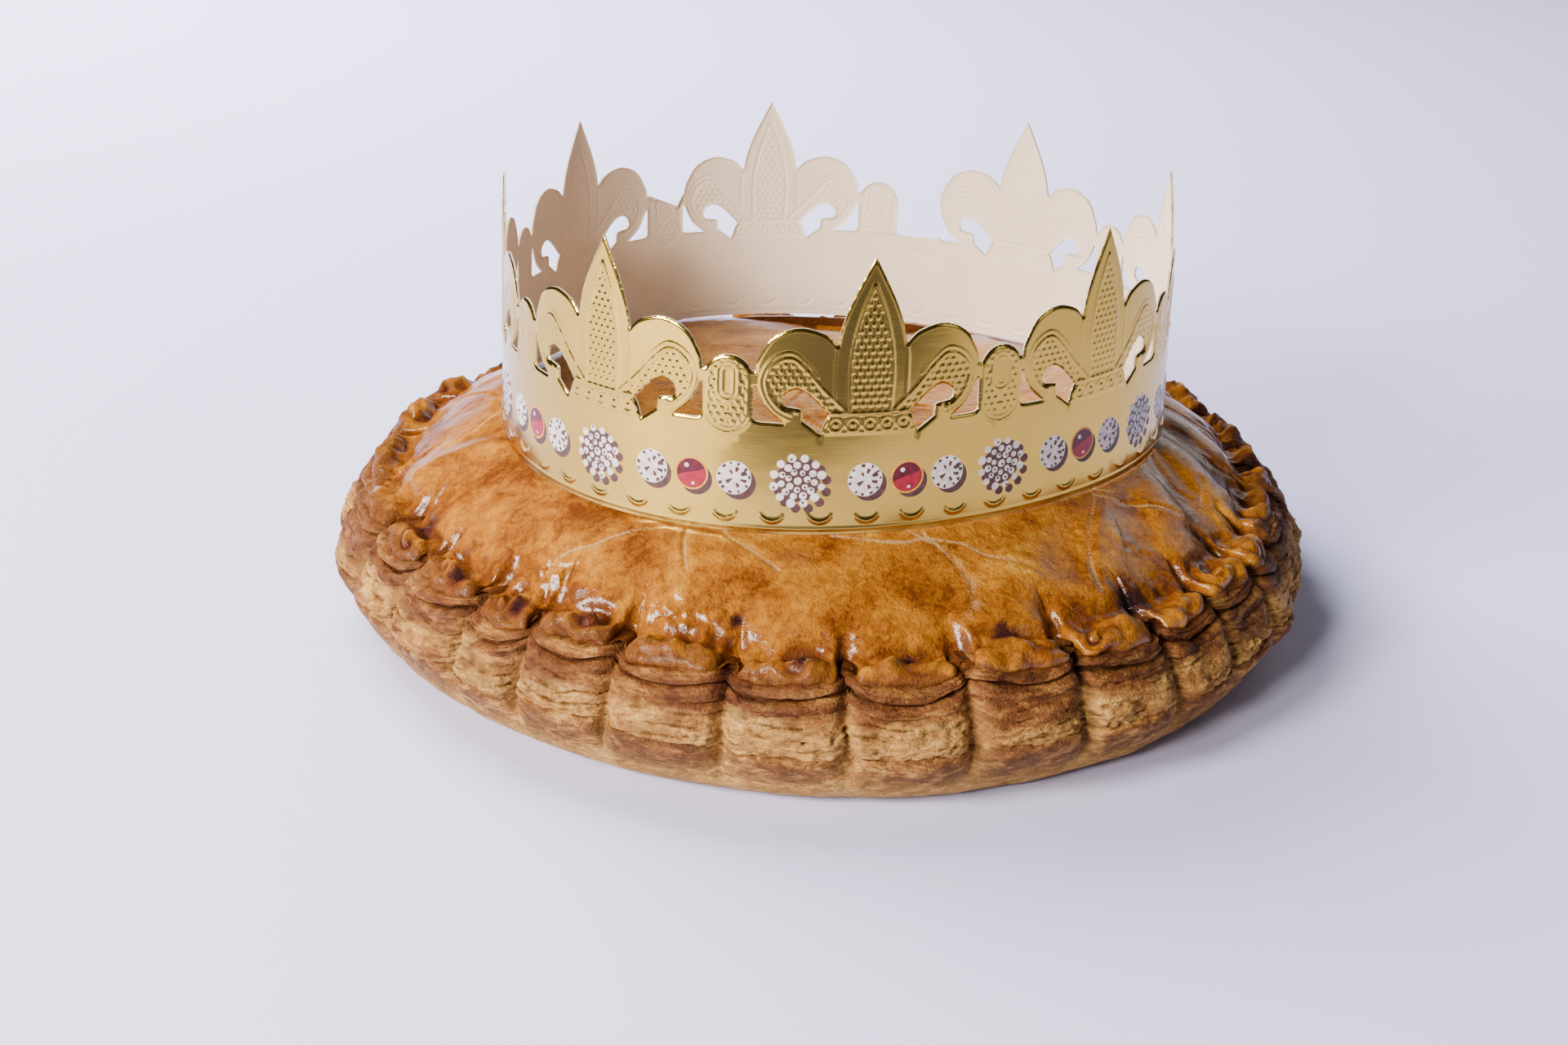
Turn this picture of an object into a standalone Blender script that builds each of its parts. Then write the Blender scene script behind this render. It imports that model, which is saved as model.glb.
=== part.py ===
"""Galette des rois: a round puffed pie with a scalloped rim, and the cut-out card crown that rests on it.

Metres, +Z up. The pie stands on z = 0, and the origin is under its middle.
Angles round the pie are counted from the front, which is -Y, towards +X.
"""

import math

import bmesh
import bpy
import numpy as np

MM = 0.001

# The pie's rim: lobes pressed round the edge by hand with the back of a knife. Each one's width is given
# in degrees, from the first dent on the front's right round towards +X.
FRONT_DENT = 2.8
LOBE_WIDTHS = (
    12.5, 12.2, 12.5, 10.0, 10.3, 8.5, 8.0, 7.2,
    7.5, 8.0, 12.5, 13.0, 12.0, 11.5, 12.5, 11.0,
    12.0, 12.5, 11.0, 12.0, 11.5, 11.5, 10.5, 11.5,
    14.5, 14.5, 11.6, 12.7, 9.0, 11.0, 12.6, 12.4,
)
LOBES = len(LOBE_WIDTHS)
LOBE_COLUMNS = 4
LOBE_SHARPNESS = 0.6
LOBE_REACH_SPREAD = 1.2 * MM
LOBE_HEIGHT_SPREAD = 1.0 * MM
# From the foot up to the dome: radius and height on a lobe, then radius and height in a dent.
RIM_SECTION = (
    (133.0, 0.0, 132.2, 0.0),
    (139.0, 3.6, 137.2, 3.6),
    (142.2, 8.5, 139.4, 8.0),
    (145.7, 14.5, 140.4, 13.5),
    (145.7, 20.0, 139.8, 19.0),
    (141.8, 26.0, 136.6, 24.5),
    (138.0, 31.0, 133.0, 29.0),
    (135.2, 34.6, 130.2, 32.0),
    (131.2, 36.4, 127.6, 34.4),
)
RIM_OVAL = 0.0102
RIM_OVAL_ANGLE = math.radians(-15.7)
RIM_CORNERS = 0.0131
RIM_CORNERS_ANGLE = math.radians(25.1)

# The pie's dome. Under the crown its contours follow the card's ring and its slope.
DOME_RADIUS = 131.0 * MM
DOME_FOOT_HEIGHT = 36.0 * MM
DOME_RISE = 24.0 * MM
DOME_POWER = 3.16
DOME_RING_RADII = (125.0, 118.0, 110.0, 102.0, 94.0, 80.0, 62.0, 40.0, 18.0)
SHOULDER_RADIUS = 98.0 * MM
RIM_INNER_RADIUS = 125.0 * MM
# At the back the dome has sunk under the card.
DIP_DEPTH = 5.8 * MM
DIP_ANGLE = math.radians(176.0)
DIP_WIDTH = math.radians(16.0)
DIP_START_RADIUS = 50.0 * MM
DIP_FULL_RADIUS = 82.0 * MM
# Between crown and rim the crust is pleated on the right, and folded once on the left.
PLEAT_HEIGHT = 1.6 * MM
PLEAT_SPACING = math.radians(15.0)
PLEAT_TWIST = 0.35
PLEAT_ANGLE = math.radians(75.0)
PLEAT_SPREAD = math.radians(48.0)
FOLD_HEIGHT = 2.4 * MM
FOLD_ANGLE = math.radians(-71.0)
FOLD_SPREAD = math.radians(7.0)

# The crown: a strip of card bent into a ring that is a little out of round, and leans in towards its top.
CARD_THICKNESS = 0.5 * MM
CROWN_RADIUS = 95.0 * MM
CROWN_CENTRE_X = -1.1 * MM
CROWN_OVAL = 0.0261
CROWN_OVAL_ANGLE = math.radians(-73.7)
CROWN_CORNERS = 0.0310
CROWN_CORNERS_ANGLE = math.radians(-23.9)
CROWN_LEAN = 0.0214
CROWN_SLOPE_X = -0.0075
CROWN_SLOPE_Y = -0.0150
RESTING_GAP = 0.3 * MM
BEND_LENGTH = 9.2 * MM

# The strip's cut-out pattern: x along the strip from a fleur's middle, y up from the strip's foot.
FLEURS = 8
FLEUR_PITCH = 73.0
FIRST_FLEUR = -4
FRONT_FLEUR_ARC = 11.9
BAND_HEIGHT = 29.8
LEAF_SIDE = ((9.0, 50.2), (7.7, 55.8), (5.1, 62.8), (0.0, 72.5))
PETAL_TOP = ((29.6, 43.1), (29.2, 46.6), (25.4, 52.0), (19.0, 54.5), (12.8, 53.2), (9.0, 50.2))
HOOK_HOLE = (
    (10.5, 32.1),
    (14.4, 36.0),
    (17.4, 38.3),
    (19.9, 38.7),
    (22.0, 37.3),
    (22.4, 35.2),
    (21.5, 34.1),
    (18.2, 33.5),
    (17.3, 32.6),
    (17.3, 30.3),
    (12.8, 27.0),
    (12.0, 29.2),
)
CORNER_HOLE = (
    (29.7, 39.1),
    (29.7, 31.2),
    (28.4, 29.8),
    (22.0, 29.8),
    (25.9, 32.6),
    (28.4, 35.9),
)
OVAL_HALF_WIDTH = 6.3
OVAL_SHOULDER = 40.7
OVAL_BRIDGE = 43.1
OVAL_ARC_STEPS = 4
OUTER_END = 43.0
INNER_END = 55.5
LAP_STEP = 0.9
LAP_RAMP = 30.0

BAKED_CRUST = (0.52, 0.25, 0.07)
GILT_CARD = (0.72, 0.55, 0.24)


def clear_scene():
    for leftover in list(bpy.data.objects):
        bpy.data.objects.remove(leftover)


def finish(colour, roughness, metallic, name):
    material = bpy.data.materials.new(name)
    material.use_nodes = True
    shader = material.node_tree.nodes["Principled BSDF"]
    shader.inputs["Base Color"].default_value = (*colour, 1.0)
    shader.inputs["Roughness"].default_value = roughness
    shader.inputs["Metallic"].default_value = metallic
    return material


def add_object(name, mesh_builder, material):
    """Turns a finished bmesh into a named object with one material."""
    mesh = bpy.data.meshes.new(name)
    mesh_builder.to_mesh(mesh)
    mesh_builder.free()
    mesh.materials.append(material)
    mesh.shade_smooth()
    mesh.set_sharp_from_angle(angle=math.radians(35.0))
    placed = bpy.data.objects.new(name, mesh)
    bpy.context.scene.collection.objects.link(placed)
    return placed


def smooth_step(share):
    share = min(1.0, max(0.0, share))
    return share * share * (3.0 - 2.0 * share)


def angle_between(first, second):
    """The smaller angle from one direction to another, with its sign."""
    return (first - second + math.pi) % (2 * math.pi) - math.pi


def bell(distance, width):
    return math.exp(-((distance / width) ** 2))


def out_of_round(angle, oval, oval_angle, corners, corners_angle):
    """How much longer or shorter a ring's radius is at an angle, as a factor."""
    return 1.0 + oval * math.cos(2 * (angle - oval_angle)) + corners * math.cos(3 * (angle - corners_angle))


# ---------------------------------------------------------------------------------------------- pie


def column_angle(column):
    """Where one column of points lies; each lobe starts with the column in its dent."""
    lobe, step = divmod(column, LOBE_COLUMNS)
    return math.radians(FRONT_DENT + sum(LOBE_WIDTHS[:lobe]) + LOBE_WIDTHS[lobe] * step / LOBE_COLUMNS)


def rim_factor(angle):
    return out_of_round(angle, RIM_OVAL, RIM_OVAL_ANGLE, RIM_CORNERS, RIM_CORNERS_ANGLE)


def crown_factor(angle):
    return out_of_round(angle, CROWN_OVAL, CROWN_OVAL_ANGLE, CROWN_CORNERS, CROWN_CORNERS_ANGLE)


def dome_height(x, y):
    """Height of the pie's top, between the middle and the rim."""
    rimward = smooth_step((math.hypot(x, y) - SHOULDER_RADIUS) / (RIM_INNER_RADIUS - SHOULDER_RADIUS))
    crownward = 1.0 - rimward
    x -= CROWN_CENTRE_X * crownward
    radius = math.hypot(x, y)
    angle = math.atan2(x, -y)
    share = radius / (DOME_RADIUS * (rimward * rim_factor(angle) + crownward * crown_factor(angle)))
    height = DOME_FOOT_HEIGHT + DOME_RISE * (1.0 - min(1.0, share) ** DOME_POWER)
    height += (CROWN_SLOPE_X * x + CROWN_SLOPE_Y * y) * crownward
    sunk = smooth_step((radius - DIP_START_RADIUS) / (DIP_FULL_RADIUS - DIP_START_RADIUS)) * crownward
    height -= DIP_DEPTH * sunk * bell(angle_between(angle, DIP_ANGLE), DIP_WIDTH)
    belt = 4.0 * rimward * crownward
    pleat = math.cos(2 * math.pi * (angle + PLEAT_TWIST * share) / PLEAT_SPACING)
    height += PLEAT_HEIGHT * 0.5 * pleat * belt * bell(angle_between(angle, PLEAT_ANGLE), PLEAT_SPREAD)
    height += FOLD_HEIGHT * belt * bell(angle_between(angle, FOLD_ANGLE), FOLD_SPREAD)
    return height


def rim_rings():
    """Rings of points from the pie's foot to the top of its lobes, one point for each column."""
    spread = np.random.default_rng(7)
    reach = spread.uniform(-1.0, 1.0, LOBES) * LOBE_REACH_SPREAD
    lift = spread.uniform(-1.0, 1.0, LOBES) * LOBE_HEIGHT_SPREAD
    rings = []
    for lobe_radius, lobe_height, dent_radius, dent_height in RIM_SECTION:
        ring = []
        for column in range(LOBES * LOBE_COLUMNS):
            lobe, step = divmod(column, LOBE_COLUMNS)
            angle = column_angle(column)
            fullness = math.sin(math.pi * step / LOBE_COLUMNS) ** LOBE_SHARPNESS if step else 0.0
            rise = lobe_height / RIM_SECTION[-1][1]
            radius = (dent_radius + (lobe_radius - dent_radius) * fullness) * MM * rim_factor(angle)
            radius += reach[lobe] * fullness * rise
            height = (dent_height + (lobe_height - dent_height) * fullness) * MM
            height += lift[lobe] * fullness * rise
            ring.append((radius * math.sin(angle), -radius * math.cos(angle), height))
        rings.append(ring)
    return rings


def dome_rings():
    """Rings of points over the dome, from the rim's inner edge towards the middle."""
    rings = []
    for ring_radius in DOME_RING_RADII:
        ring = []
        for column in range(LOBES * LOBE_COLUMNS):
            angle = column_angle(column)
            radius = ring_radius * MM * (1.0 + (rim_factor(angle) - 1.0) * ring_radius / DOME_RING_RADII[0])
            x = radius * math.sin(angle)
            y = -radius * math.cos(angle)
            ring.append((x, y, dome_height(x, y)))
        rings.append(ring)
    return rings


def build_pie():
    """One solid: a flat foot, the lobed side and the dome, as bands between rings of points."""
    shape = bmesh.new()
    rings = [[shape.verts.new(point) for point in ring] for ring in rim_rings() + dome_rings()]
    columns = len(rings[0])
    for lower, upper in zip(rings, rings[1:]):
        for column in range(columns):
            following = (column + 1) % columns
            shape.faces.new((lower[column], lower[following], upper[following], upper[column]))
    shape.faces.new(list(reversed(rings[0])))
    summit = shape.verts.new((0.0, 0.0, dome_height(0.0, 0.0)))
    for column in range(columns):
        shape.faces.new((rings[-1][column], rings[-1][(column + 1) % columns], summit))
    bmesh.ops.triangulate(shape, faces=shape.faces[:])
    return add_object("galette", shape, finish(BAKED_CRUST, 0.35, 0.0, "baked_crust"))


# -------------------------------------------------------------------------------------------- crown


def mirrored(points):
    """The same points on a fleur's other side, in the opposite order."""
    return [(-x, y) for x, y in reversed(points)]


def shifted(points, distance):
    return [(x + distance, y) for x, y in points]


def oval_arc(start, end):
    """Points on an oval's round top between two angles, measured from its middle at x = 0."""
    angles = np.linspace(start, end, OVAL_ARC_STEPS + 1)
    return [(OVAL_HALF_WIDTH * math.cos(a), OVAL_SHOULDER + OVAL_HALF_WIDTH * math.sin(a)) for a in angles]


def fleur_outline():
    """The upper edge of one fleur from its left bridge to its right one."""
    right = list(reversed(PETAL_TOP))[:-1] + [PETAL_TOP[0]]
    right = list(reversed(LEAF_SIDE))[:-1] + right
    return mirrored(right)[:-1] + right


def strip_outline():
    """The whole strip's outer edge: along the foot, then back over ovals and fleurs."""
    first = FIRST_FLEUR * FLEUR_PITCH
    last = (FIRST_FLEUR + FLEURS - 1) * FLEUR_PITCH
    bridge = math.asin((OVAL_BRIDGE - OVAL_SHOULDER) / OVAL_HALF_WIDTH)
    top = [(first - OUTER_END, 0.0), (first - OUTER_END, BAND_HEIGHT)]
    left_oval = oval_arc(math.pi, bridge)
    top += shifted([(-OVAL_HALF_WIDTH, BAND_HEIGHT)] + left_oval, first - FLEUR_PITCH / 2)
    for fleur in range(FLEURS):
        centre = first + fleur * FLEUR_PITCH
        top += shifted(fleur_outline(), centre)
        if fleur < FLEURS - 1:
            top += shifted(oval_arc(math.pi - bridge, bridge), centre + FLEUR_PITCH / 2)
    petal_foot = [(29.6, 39.1), (28.4, 35.9), (25.9, 32.6), (22.0, BAND_HEIGHT)]
    top += shifted(petal_foot, last)
    top += [(last + INNER_END, BAND_HEIGHT), (last + INNER_END, 0.0)]
    return top


def strip_holes():
    """Each fleur's two hooked holes, and the corner holes between petals and ovals."""
    holes = []
    for fleur in range(FLEURS):
        centre = (FIRST_FLEUR + fleur) * FLEUR_PITCH
        holes.append(shifted(HOOK_HOLE, centre))
        holes.append(shifted(mirrored(HOOK_HOLE), centre))
        holes.append(shifted(mirrored(CORNER_HOLE), centre))
        if fleur < FLEURS - 1:
            holes.append(shifted(CORNER_HOLE, centre))
    return holes


def arc_table():
    """Angles round the ring and the length of card up to each of them, from the front."""
    angles = np.linspace(-1.5 * math.pi, 1.5 * math.pi, 2161)
    radii = np.array([CROWN_RADIUS * crown_factor(angle) for angle in angles])
    steps = np.hypot(np.diff(radii * np.sin(angles)), np.diff(radii * np.cos(angles)))
    lengths = np.concatenate(([0.0], np.cumsum(steps)))
    return angles, lengths - np.interp(0.0, angles, lengths)


def resting_height():
    """How high the crown's foot stands at its centre, so that it just clears the dome."""
    highest = 0.0
    for angle in np.linspace(0.0, 2 * math.pi, 720, endpoint=False):
        for reach in (-CARD_THICKNESS, CARD_THICKNESS + LAP_STEP * MM):
            radius = CROWN_RADIUS * crown_factor(angle) + reach
            x = radius * math.sin(angle)
            y = -radius * math.cos(angle)
            plane = CROWN_SLOPE_X * x + CROWN_SLOPE_Y * y
            highest = max(highest, dome_height(x + CROWN_CENTRE_X, y) - plane)
    return highest + RESTING_GAP


def bend_strip(shape):
    """Moves a flat strip's points onto the ring; z in the flat strip is depth through the card."""
    angles, lengths = arc_table()
    foot = resting_height()
    outer_end = FIRST_FLEUR * FLEUR_PITCH - OUTER_END
    for point in shape.verts:
        along, up, depth = point.co
        angle = float(np.interp((along + FRONT_FLEUR_ARC) * MM, lengths, angles))
        lap = LAP_STEP * smooth_step(1.0 - (along - outer_end - 20.0) / LAP_RAMP)
        radius = CROWN_RADIUS * crown_factor(angle) * (1.0 - CROWN_LEAN * up / LEAF_SIDE[-1][1])
        radius += (depth + lap) * MM
        x = radius * math.sin(angle)
        y = -radius * math.cos(angle)
        level = foot + CROWN_SLOPE_X * x + CROWN_SLOPE_Y * y + up * MM
        lean_x = -CROWN_SLOPE_X * up * MM
        lean_y = -CROWN_SLOPE_Y * up * MM
        point.co = (x + CROWN_CENTRE_X + lean_x, y + lean_y, level)


def build_crown():
    """One solid: the flat cut-out strip gets its thickness and its bend lines, and is bent round."""
    shape = bmesh.new()
    rim_edges = []
    for loop in [strip_outline()] + strip_holes():
        corners = [shape.verts.new((x, y, 0.0)) for x, y in loop]
        rim_edges += [shape.edges.new((a, b)) for a, b in zip(corners, corners[1:] + corners[:1])]
    bmesh.ops.triangle_fill(shape, use_beauty=True, use_dissolve=False, edges=rim_edges)
    front = bmesh.ops.extrude_face_region(shape, geom=shape.faces[:])["geom"]
    front_points = [item for item in front if isinstance(item, bmesh.types.BMVert)]
    bmesh.ops.translate(shape, verts=front_points, vec=(0.0, 0.0, CARD_THICKNESS / MM))
    start = FIRST_FLEUR * FLEUR_PITCH - OUTER_END
    end = (FIRST_FLEUR + FLEURS - 1) * FLEUR_PITCH + INNER_END
    bends = round((end - start) * MM / BEND_LENGTH)
    for bend in range(1, bends):
        place = start + (end - start) * bend / bends
        geometry = shape.verts[:] + shape.edges[:] + shape.faces[:]
        bmesh.ops.bisect_plane(shape, geom=geometry, plane_co=(place, 0.0, 0.0), plane_no=(1.0, 0.0, 0.0))
    bmesh.ops.triangulate(shape, faces=shape.faces[:])
    bmesh.ops.recalc_face_normals(shape, faces=shape.faces[:])
    bend_strip(shape)
    return add_object("crown", shape, finish(GILT_CARD, 0.3, 0.8, "gilt_card"))


def centre_on_foot(objects):
    """Moves everything sideways so that the whole object's box is centred on the origin."""
    points = np.array([vertex.co for placed in objects for vertex in placed.data.vertices])
    middle = (points.min(axis=0) + points.max(axis=0)) / 2
    for placed in objects:
        for vertex in placed.data.vertices:
            vertex.co.x -= middle[0]
            vertex.co.y -= middle[1]


def main():
    clear_scene()
    centre_on_foot([build_pie(), build_crown()])


main()
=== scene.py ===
"""The looks of a galette des rois and its gold card crown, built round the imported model.

Shapes are worked out in millimetres round the pie's own axis, and turned to metres at the end.
Angles round the pie are counted from the front, which is -Y, towards +X.
"""

import math

import bmesh
import bpy
import numpy as np
from mathutils import Matrix, Vector

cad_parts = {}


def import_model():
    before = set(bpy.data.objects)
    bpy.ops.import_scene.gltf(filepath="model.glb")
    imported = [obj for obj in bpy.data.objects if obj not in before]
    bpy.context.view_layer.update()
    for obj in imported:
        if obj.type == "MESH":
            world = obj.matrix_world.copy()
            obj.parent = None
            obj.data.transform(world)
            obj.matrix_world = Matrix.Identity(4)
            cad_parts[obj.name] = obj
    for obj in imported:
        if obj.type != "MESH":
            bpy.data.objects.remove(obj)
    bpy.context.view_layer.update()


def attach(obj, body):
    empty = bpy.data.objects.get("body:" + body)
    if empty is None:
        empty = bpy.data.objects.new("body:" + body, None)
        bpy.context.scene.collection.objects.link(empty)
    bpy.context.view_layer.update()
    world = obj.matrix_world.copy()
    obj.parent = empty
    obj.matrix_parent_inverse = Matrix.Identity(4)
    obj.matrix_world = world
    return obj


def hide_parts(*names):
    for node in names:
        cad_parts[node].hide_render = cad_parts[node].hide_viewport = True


MM = 0.001
AXIS = (1.5, -0.3, 0.0)

# Lobes pressed round the rim, from the front towards +X: how many degrees each one takes.
FRONT_DENT = 2.8
LOBE_WIDTHS = (
    12.5, 12.2, 12.5, 10.0, 10.3, 8.5, 8.0, 7.2,
    7.5, 8.0, 12.5, 13.0, 12.0, 11.5, 12.5, 11.0,
    12.0, 12.5, 11.0, 12.0, 11.5, 11.5, 10.5, 11.5,
    14.5, 14.5, 11.6, 12.7, 9.0, 11.0, 12.6, 12.4,
)
LOBES = len(LOBE_WIDTHS)
DENTS = np.radians(FRONT_DENT + np.concatenate(([0.0], np.cumsum(LOBE_WIDTHS))))
COLUMN_CROWDING = 0.4
LOBE_REACH_SPREAD = 1.2
LOBE_LIFT_SPREAD = 1.6
LOBE_TILT_SPREAD = 0.9
LOBE_FULL_HEIGHT = 36.0
LOBE_ROUNDING = 0.7
CLEFT_POWER = 7.0
CLEFT_FOOT = 6.0
CLEFT_LENGTH = 12.0
SAG_UNEVENNESS = 0.4
SAG_LEAN = 1.2
# The layers just under the lip sag in the middle of each lobe, and rise where it was pressed.
SAG = 3.4
SAG_HEIGHT = 29.5
SAG_SPREAD = 5.5
RIM_OVAL = (0.0102, math.radians(-15.7))
RIM_CORNERS = (0.0131, math.radians(25.1))

# The dome, whose contours follow the crown's ring where the crown rests on it.
DOME_RADIUS = 131.0
DOME_FOOT_HEIGHT = 36.0
DOME_RISE = 24.0
DOME_POWER = 3.16
SHOULDER_RADIUS = 98.0
RIM_INNER_RADIUS = 125.0
KNOT_LEVEL = 36.5
DIP_DEPTH = 5.8
DIP_ANGLE = math.radians(176.0)
DIP_WIDTH = math.radians(16.0)

DOMED_RADIUS = 114.0
DOMED_BLEND = 13.0
DIP_START = 50.0
DIP_LENGTH = 32.0
# Sections through the rim, each from its hidden start to its hidden end. A row says radius and height
# on a lobe, radius and height in a dent, how sharply the dent is cut, and the rows up to the next point.
SIDE_SECTION = (
    (0.0, 0.0, 0.0, 0.0, 2.0, 1),
    (120.0, 0.0, 120.0, 0.0, 2.0, 2),
    (131.8, 0.0, 131.0, 0.0, 2.0, 2),
    (134.6, 0.8, 133.6, 0.8, 2.0, 6),
    (138.9, 4.2, 137.7, 4.1, 2.0, 7),
    (141.6, 8.4, 139.4, 8.2, 2.2, 7),
    (144.2, 12.4, 140.0, 12.2, 2.2, 7),
    (146.0, 15.8, 140.0, 15.4, 2.2, 4),
    (145.6, 17.5, 139.6, 17.2, 2.2, 2),
    (142.8, 17.9, 137.6, 17.6, 6.0, 1),
    (126.0, 17.9, 126.0, 17.6, 6.0, 1),
    (0.0, 17.9, 0.0, 17.9, 6.0, 1),
)
FLAKES_SECTION = (
    (126.0, 16.4, 126.0, 16.2, 2.2, 1),
    (142.5, 16.6, 137.6, 16.4, 2.2, 2),
    (145.2, 17.5, 139.6, 17.2, 2.2, 9),
    (145.2, 20.0, 139.6, 19.6, 2.2, 12),
    (143.4, 23.2, 138.4, 22.4, 2.2, 11),
    (141.4, 26.0, 136.6, 24.9, 2.2, 5),
    (139.8, 27.2, 135.0, 26.2, 2.2, 2),
    (136.6, 27.6, 132.6, 26.6, 2.2, 1),
    (124.0, 27.6, 124.0, 26.6, 2.2, 1),
    (126.0, 16.4, 126.0, 16.2, 2.2, 1),
)
ROLLS_SECTION = (
    (124.0, 25.2, 124.0, 24.2, 2.2, 1),
    (138.0, 25.3, 134.0, 24.4, 2.2, 3),
    (140.9, 26.6, 136.2, 25.4, 2.2, 6),
    (140.1, 28.4, 135.4, 26.8, 2.2, 4),
    (138.0, 29.2, 133.6, 27.5, 2.2, 3),
    (137.2, 29.5, 132.8, 27.8, 2.2, 3),
    (138.8, 30.3, 133.8, 28.4, 2.2, 5),
    (137.8, 31.8, 132.8, 29.5, 2.2, 4),
    (135.6, 32.5, 131.0, 30.1, 2.2, 2),
    (122.0, 32.7, 122.0, 30.3, 2.2, 1),
    (124.0, 25.2, 124.0, 24.2, 2.2, 1),
)
SKIN_SECTION = (
    (93.8, 50.0, 93.8, 50.0, 2.0, 2),
    (95.4, 49.8, 95.4, 49.8, 2.0, 15),
    (107.0, 46.0, 106.5, 46.0, 2.0, 15),
    (118.0, 42.0, 117.0, 41.6, 2.0, 8),
    (123.5, 39.4, 121.5, 38.4, 2.2, 6),
    (127.4, 37.4, 124.8, 35.6, 2.2, 5),
    (130.2, 37.2, 126.8, 33.8, 2.2, 5),
    (132.8, 36.8, 128.4, 32.8, 2.2, 4),
    (134.9, 35.6, 129.8, 31.6, 2.2, 4),
    (136.1, 33.6, 130.8, 30.7, 2.2, 4),
    (135.8, 32.0, 131.0, 29.9, 2.2, 3),
    (133.8, 31.3, 129.6, 29.4, 2.2, 1),
    (119.0, 31.0, 119.0, 29.4, 5.0, 1),
    (96.0, 34.0, 96.0, 34.0, 2.0, 1),
    (93.8, 50.0, 93.8, 50.0, 2.0, 1),
)
CAP_SECTION = (
    (0.0, 60.0, 0.0, 60.0, 2.0, 42),
    (66.0, 57.0, 66.0, 57.0, 2.0, 32),
    (95.5, 51.0, 95.5, 51.0, 2.0, 1),
    (94.0, 47.0, 94.0, 47.0, 2.0, 1),
    (0.0, 40.0, 0.0, 40.0, 2.0, 1),
)

# Lines scored in the crust with a knife's point, as radius and angle in degrees; first the cuts that
# show in front and on the right, then the two strokes of one rosette leaf, repeated round the rest.
SCORES = (
    (
        (93.0, -18.5), (97.0, -20.5), (101.0, -26.0), (105.0, -29.3),
        (111.0, -33.0), (116.0, -36.2), (127.0, -37.0),
    ),
    ((93.0, -18.0), (100.0, -13.0), (103.5, -9.0), (107.0, -6.0)),
    ((98.0, -21.0), (104.0, -20.0), (111.0, -18.2)),
    ((92.0, 16.0), (99.0, 18.0), (104.0, 19.0), (110.0, 20.0), (119.0, 18.4)),
    ((94.0, 16.0), (97.0, 21.0), (102.0, 24.2), (107.0, 28.0), (112.0, 30.0)),
    ((96.0, 74.0), (105.0, 68.0), (111.0, 67.0)),
    ((111.0, 73.0), (114.0, 67.6)),
)
LEAF_STROKES = (
    ((93.0, 0.0), (99.0, -5.5), (106.0, -10.5), (114.0, -14.0), (121.0, -15.4)),
    ((93.0, 0.5), (99.0, 4.5), (105.0, 7.6), (112.0, 10.0)),
)
SCORE_WIDTH = 0.62
STROKE_WIDTH = 0.6
LEAF_ANGLES = (-86.0, 50.0, 112.0, 147.0, 181.0, 215.0, 244.0)
CENTRE_STROKE = ((6.0, -95.0), (22.0, -82.0), (42.0, -52.0), (64.0, -26.0), (84.0, -8.0), (96.0, 0.0))
CENTRE_STROKES = 10
TEAR = ((93.5, 1.0), (94.6, 6.0), (95.6, 12.0), (94.4, 15.5))
PALE_STREAK = ((98.0, 18.0), (107.0, 19.6), (115.0, 19.4), (122.0, 17.6))
BLISTERS = ((121.0, -17.0, 9.0), (124.0, 6.5, 4.0), (118.0, -36.0, 5.0), (112.0, 47.0, 4.0))
# The lip is browned least on the right; painted shade darkens the rest of the pie on the left, painted light
# lightens it on the right.
LIGHTER_ANGLE = math.radians(34.0)
LIGHTER_SPREAD = math.radians(30.0)
PAINTED_SHADE_ANGLE = math.radians(-40.0)
PAINTED_SHADE_SPREAD = math.radians(45.0)
RIM_PAINTED_LIGHT_TILT = 0.32
# Spots that caught in the oven: radius, angle in degrees, size.
BURNT_SPOTS = (
    (131.0, -2.2, 2.6), (130.4, 9.8, 2.2), (128.6, 21.0, 3.0), (124.5, 40.0, 3.4), (130.5, -47.0, 2.2),
    (131.0, -36.4, 2.2), (126.0, -62.0, 2.6), (130.0, -27.0, 1.6), (128.0, 92.0, 2.6), (129.0, 141.0, 2.6),
    (131.0, 166.0, 2.2), (129.0, 204.0, 2.8), (130.0, 236.0, 2.4), (126.0, 259.0, 2.4), (121.0, -10.0, 1.1),
)

# Soft pleats across the crust on the right, and one fold on the left.
PLEAT_PITCH = math.radians(15.0)
PLEATS_MIDDLE = math.radians(72.0)
PLEATS_SPREAD = math.radians(42.0)
FOLD_ANGLE = math.radians(-69.0)
FOLD_LEAN = 0.09 / 35.0
# Unevenness of each crust, layer on layer: height, size of the lumps, and seed.
SIDE_BUMPS = (
    (0.55, (9, 9, 7), 21),
    (0.30, (12, 12, 2.4), 22),
    (0.14, (3.4, 3.4, 1.3), 23),
    (0.05, (1.4, 1.4, 0.7), 24),
)
ROLL_BUMPS = ((0.75, (8, 8, 3), 67), (0.30, (9, 9, 1.0), 68), (0.10, (1.6, 1.6, 0.8), 69))
SKIN_PILLOWS = ((0.85, 24, 92), (0.40, 9, 93))
SKIN_WRINKLES = ((0.7, 4.2, 96), (0.25, 2.0, 97))
CAP_BUMPS = ((0.9, 24, 111), (0.35, 8, 112), (0.08, 3, 113))
# Seeds of the draws that make the lobes, strokes and gems uneven.
LOBE_SEED = 11
FLAKE_SEED = 58
ROLL_SEED = 61
STROKE_SEED = 81
LIP_SEED = 91
KNOT_SEED = 105
GEM_SEED = 121

# The crown's ring.
CROWN_RADIUS = 95.0
CROWN_CENTRE_X = -1.1
CROWN_OVAL = (0.0261, math.radians(-73.7))
CROWN_CORNERS = (0.0310, math.radians(-23.9))
CROWN_LEAN = 0.0214
CROWN_SLOPE_X = -0.0075
CROWN_SLOPE_Y = -0.0150
CROWN_FOOT_HEIGHT = 51.757
CARD_THICKNESS = 0.5

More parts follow.
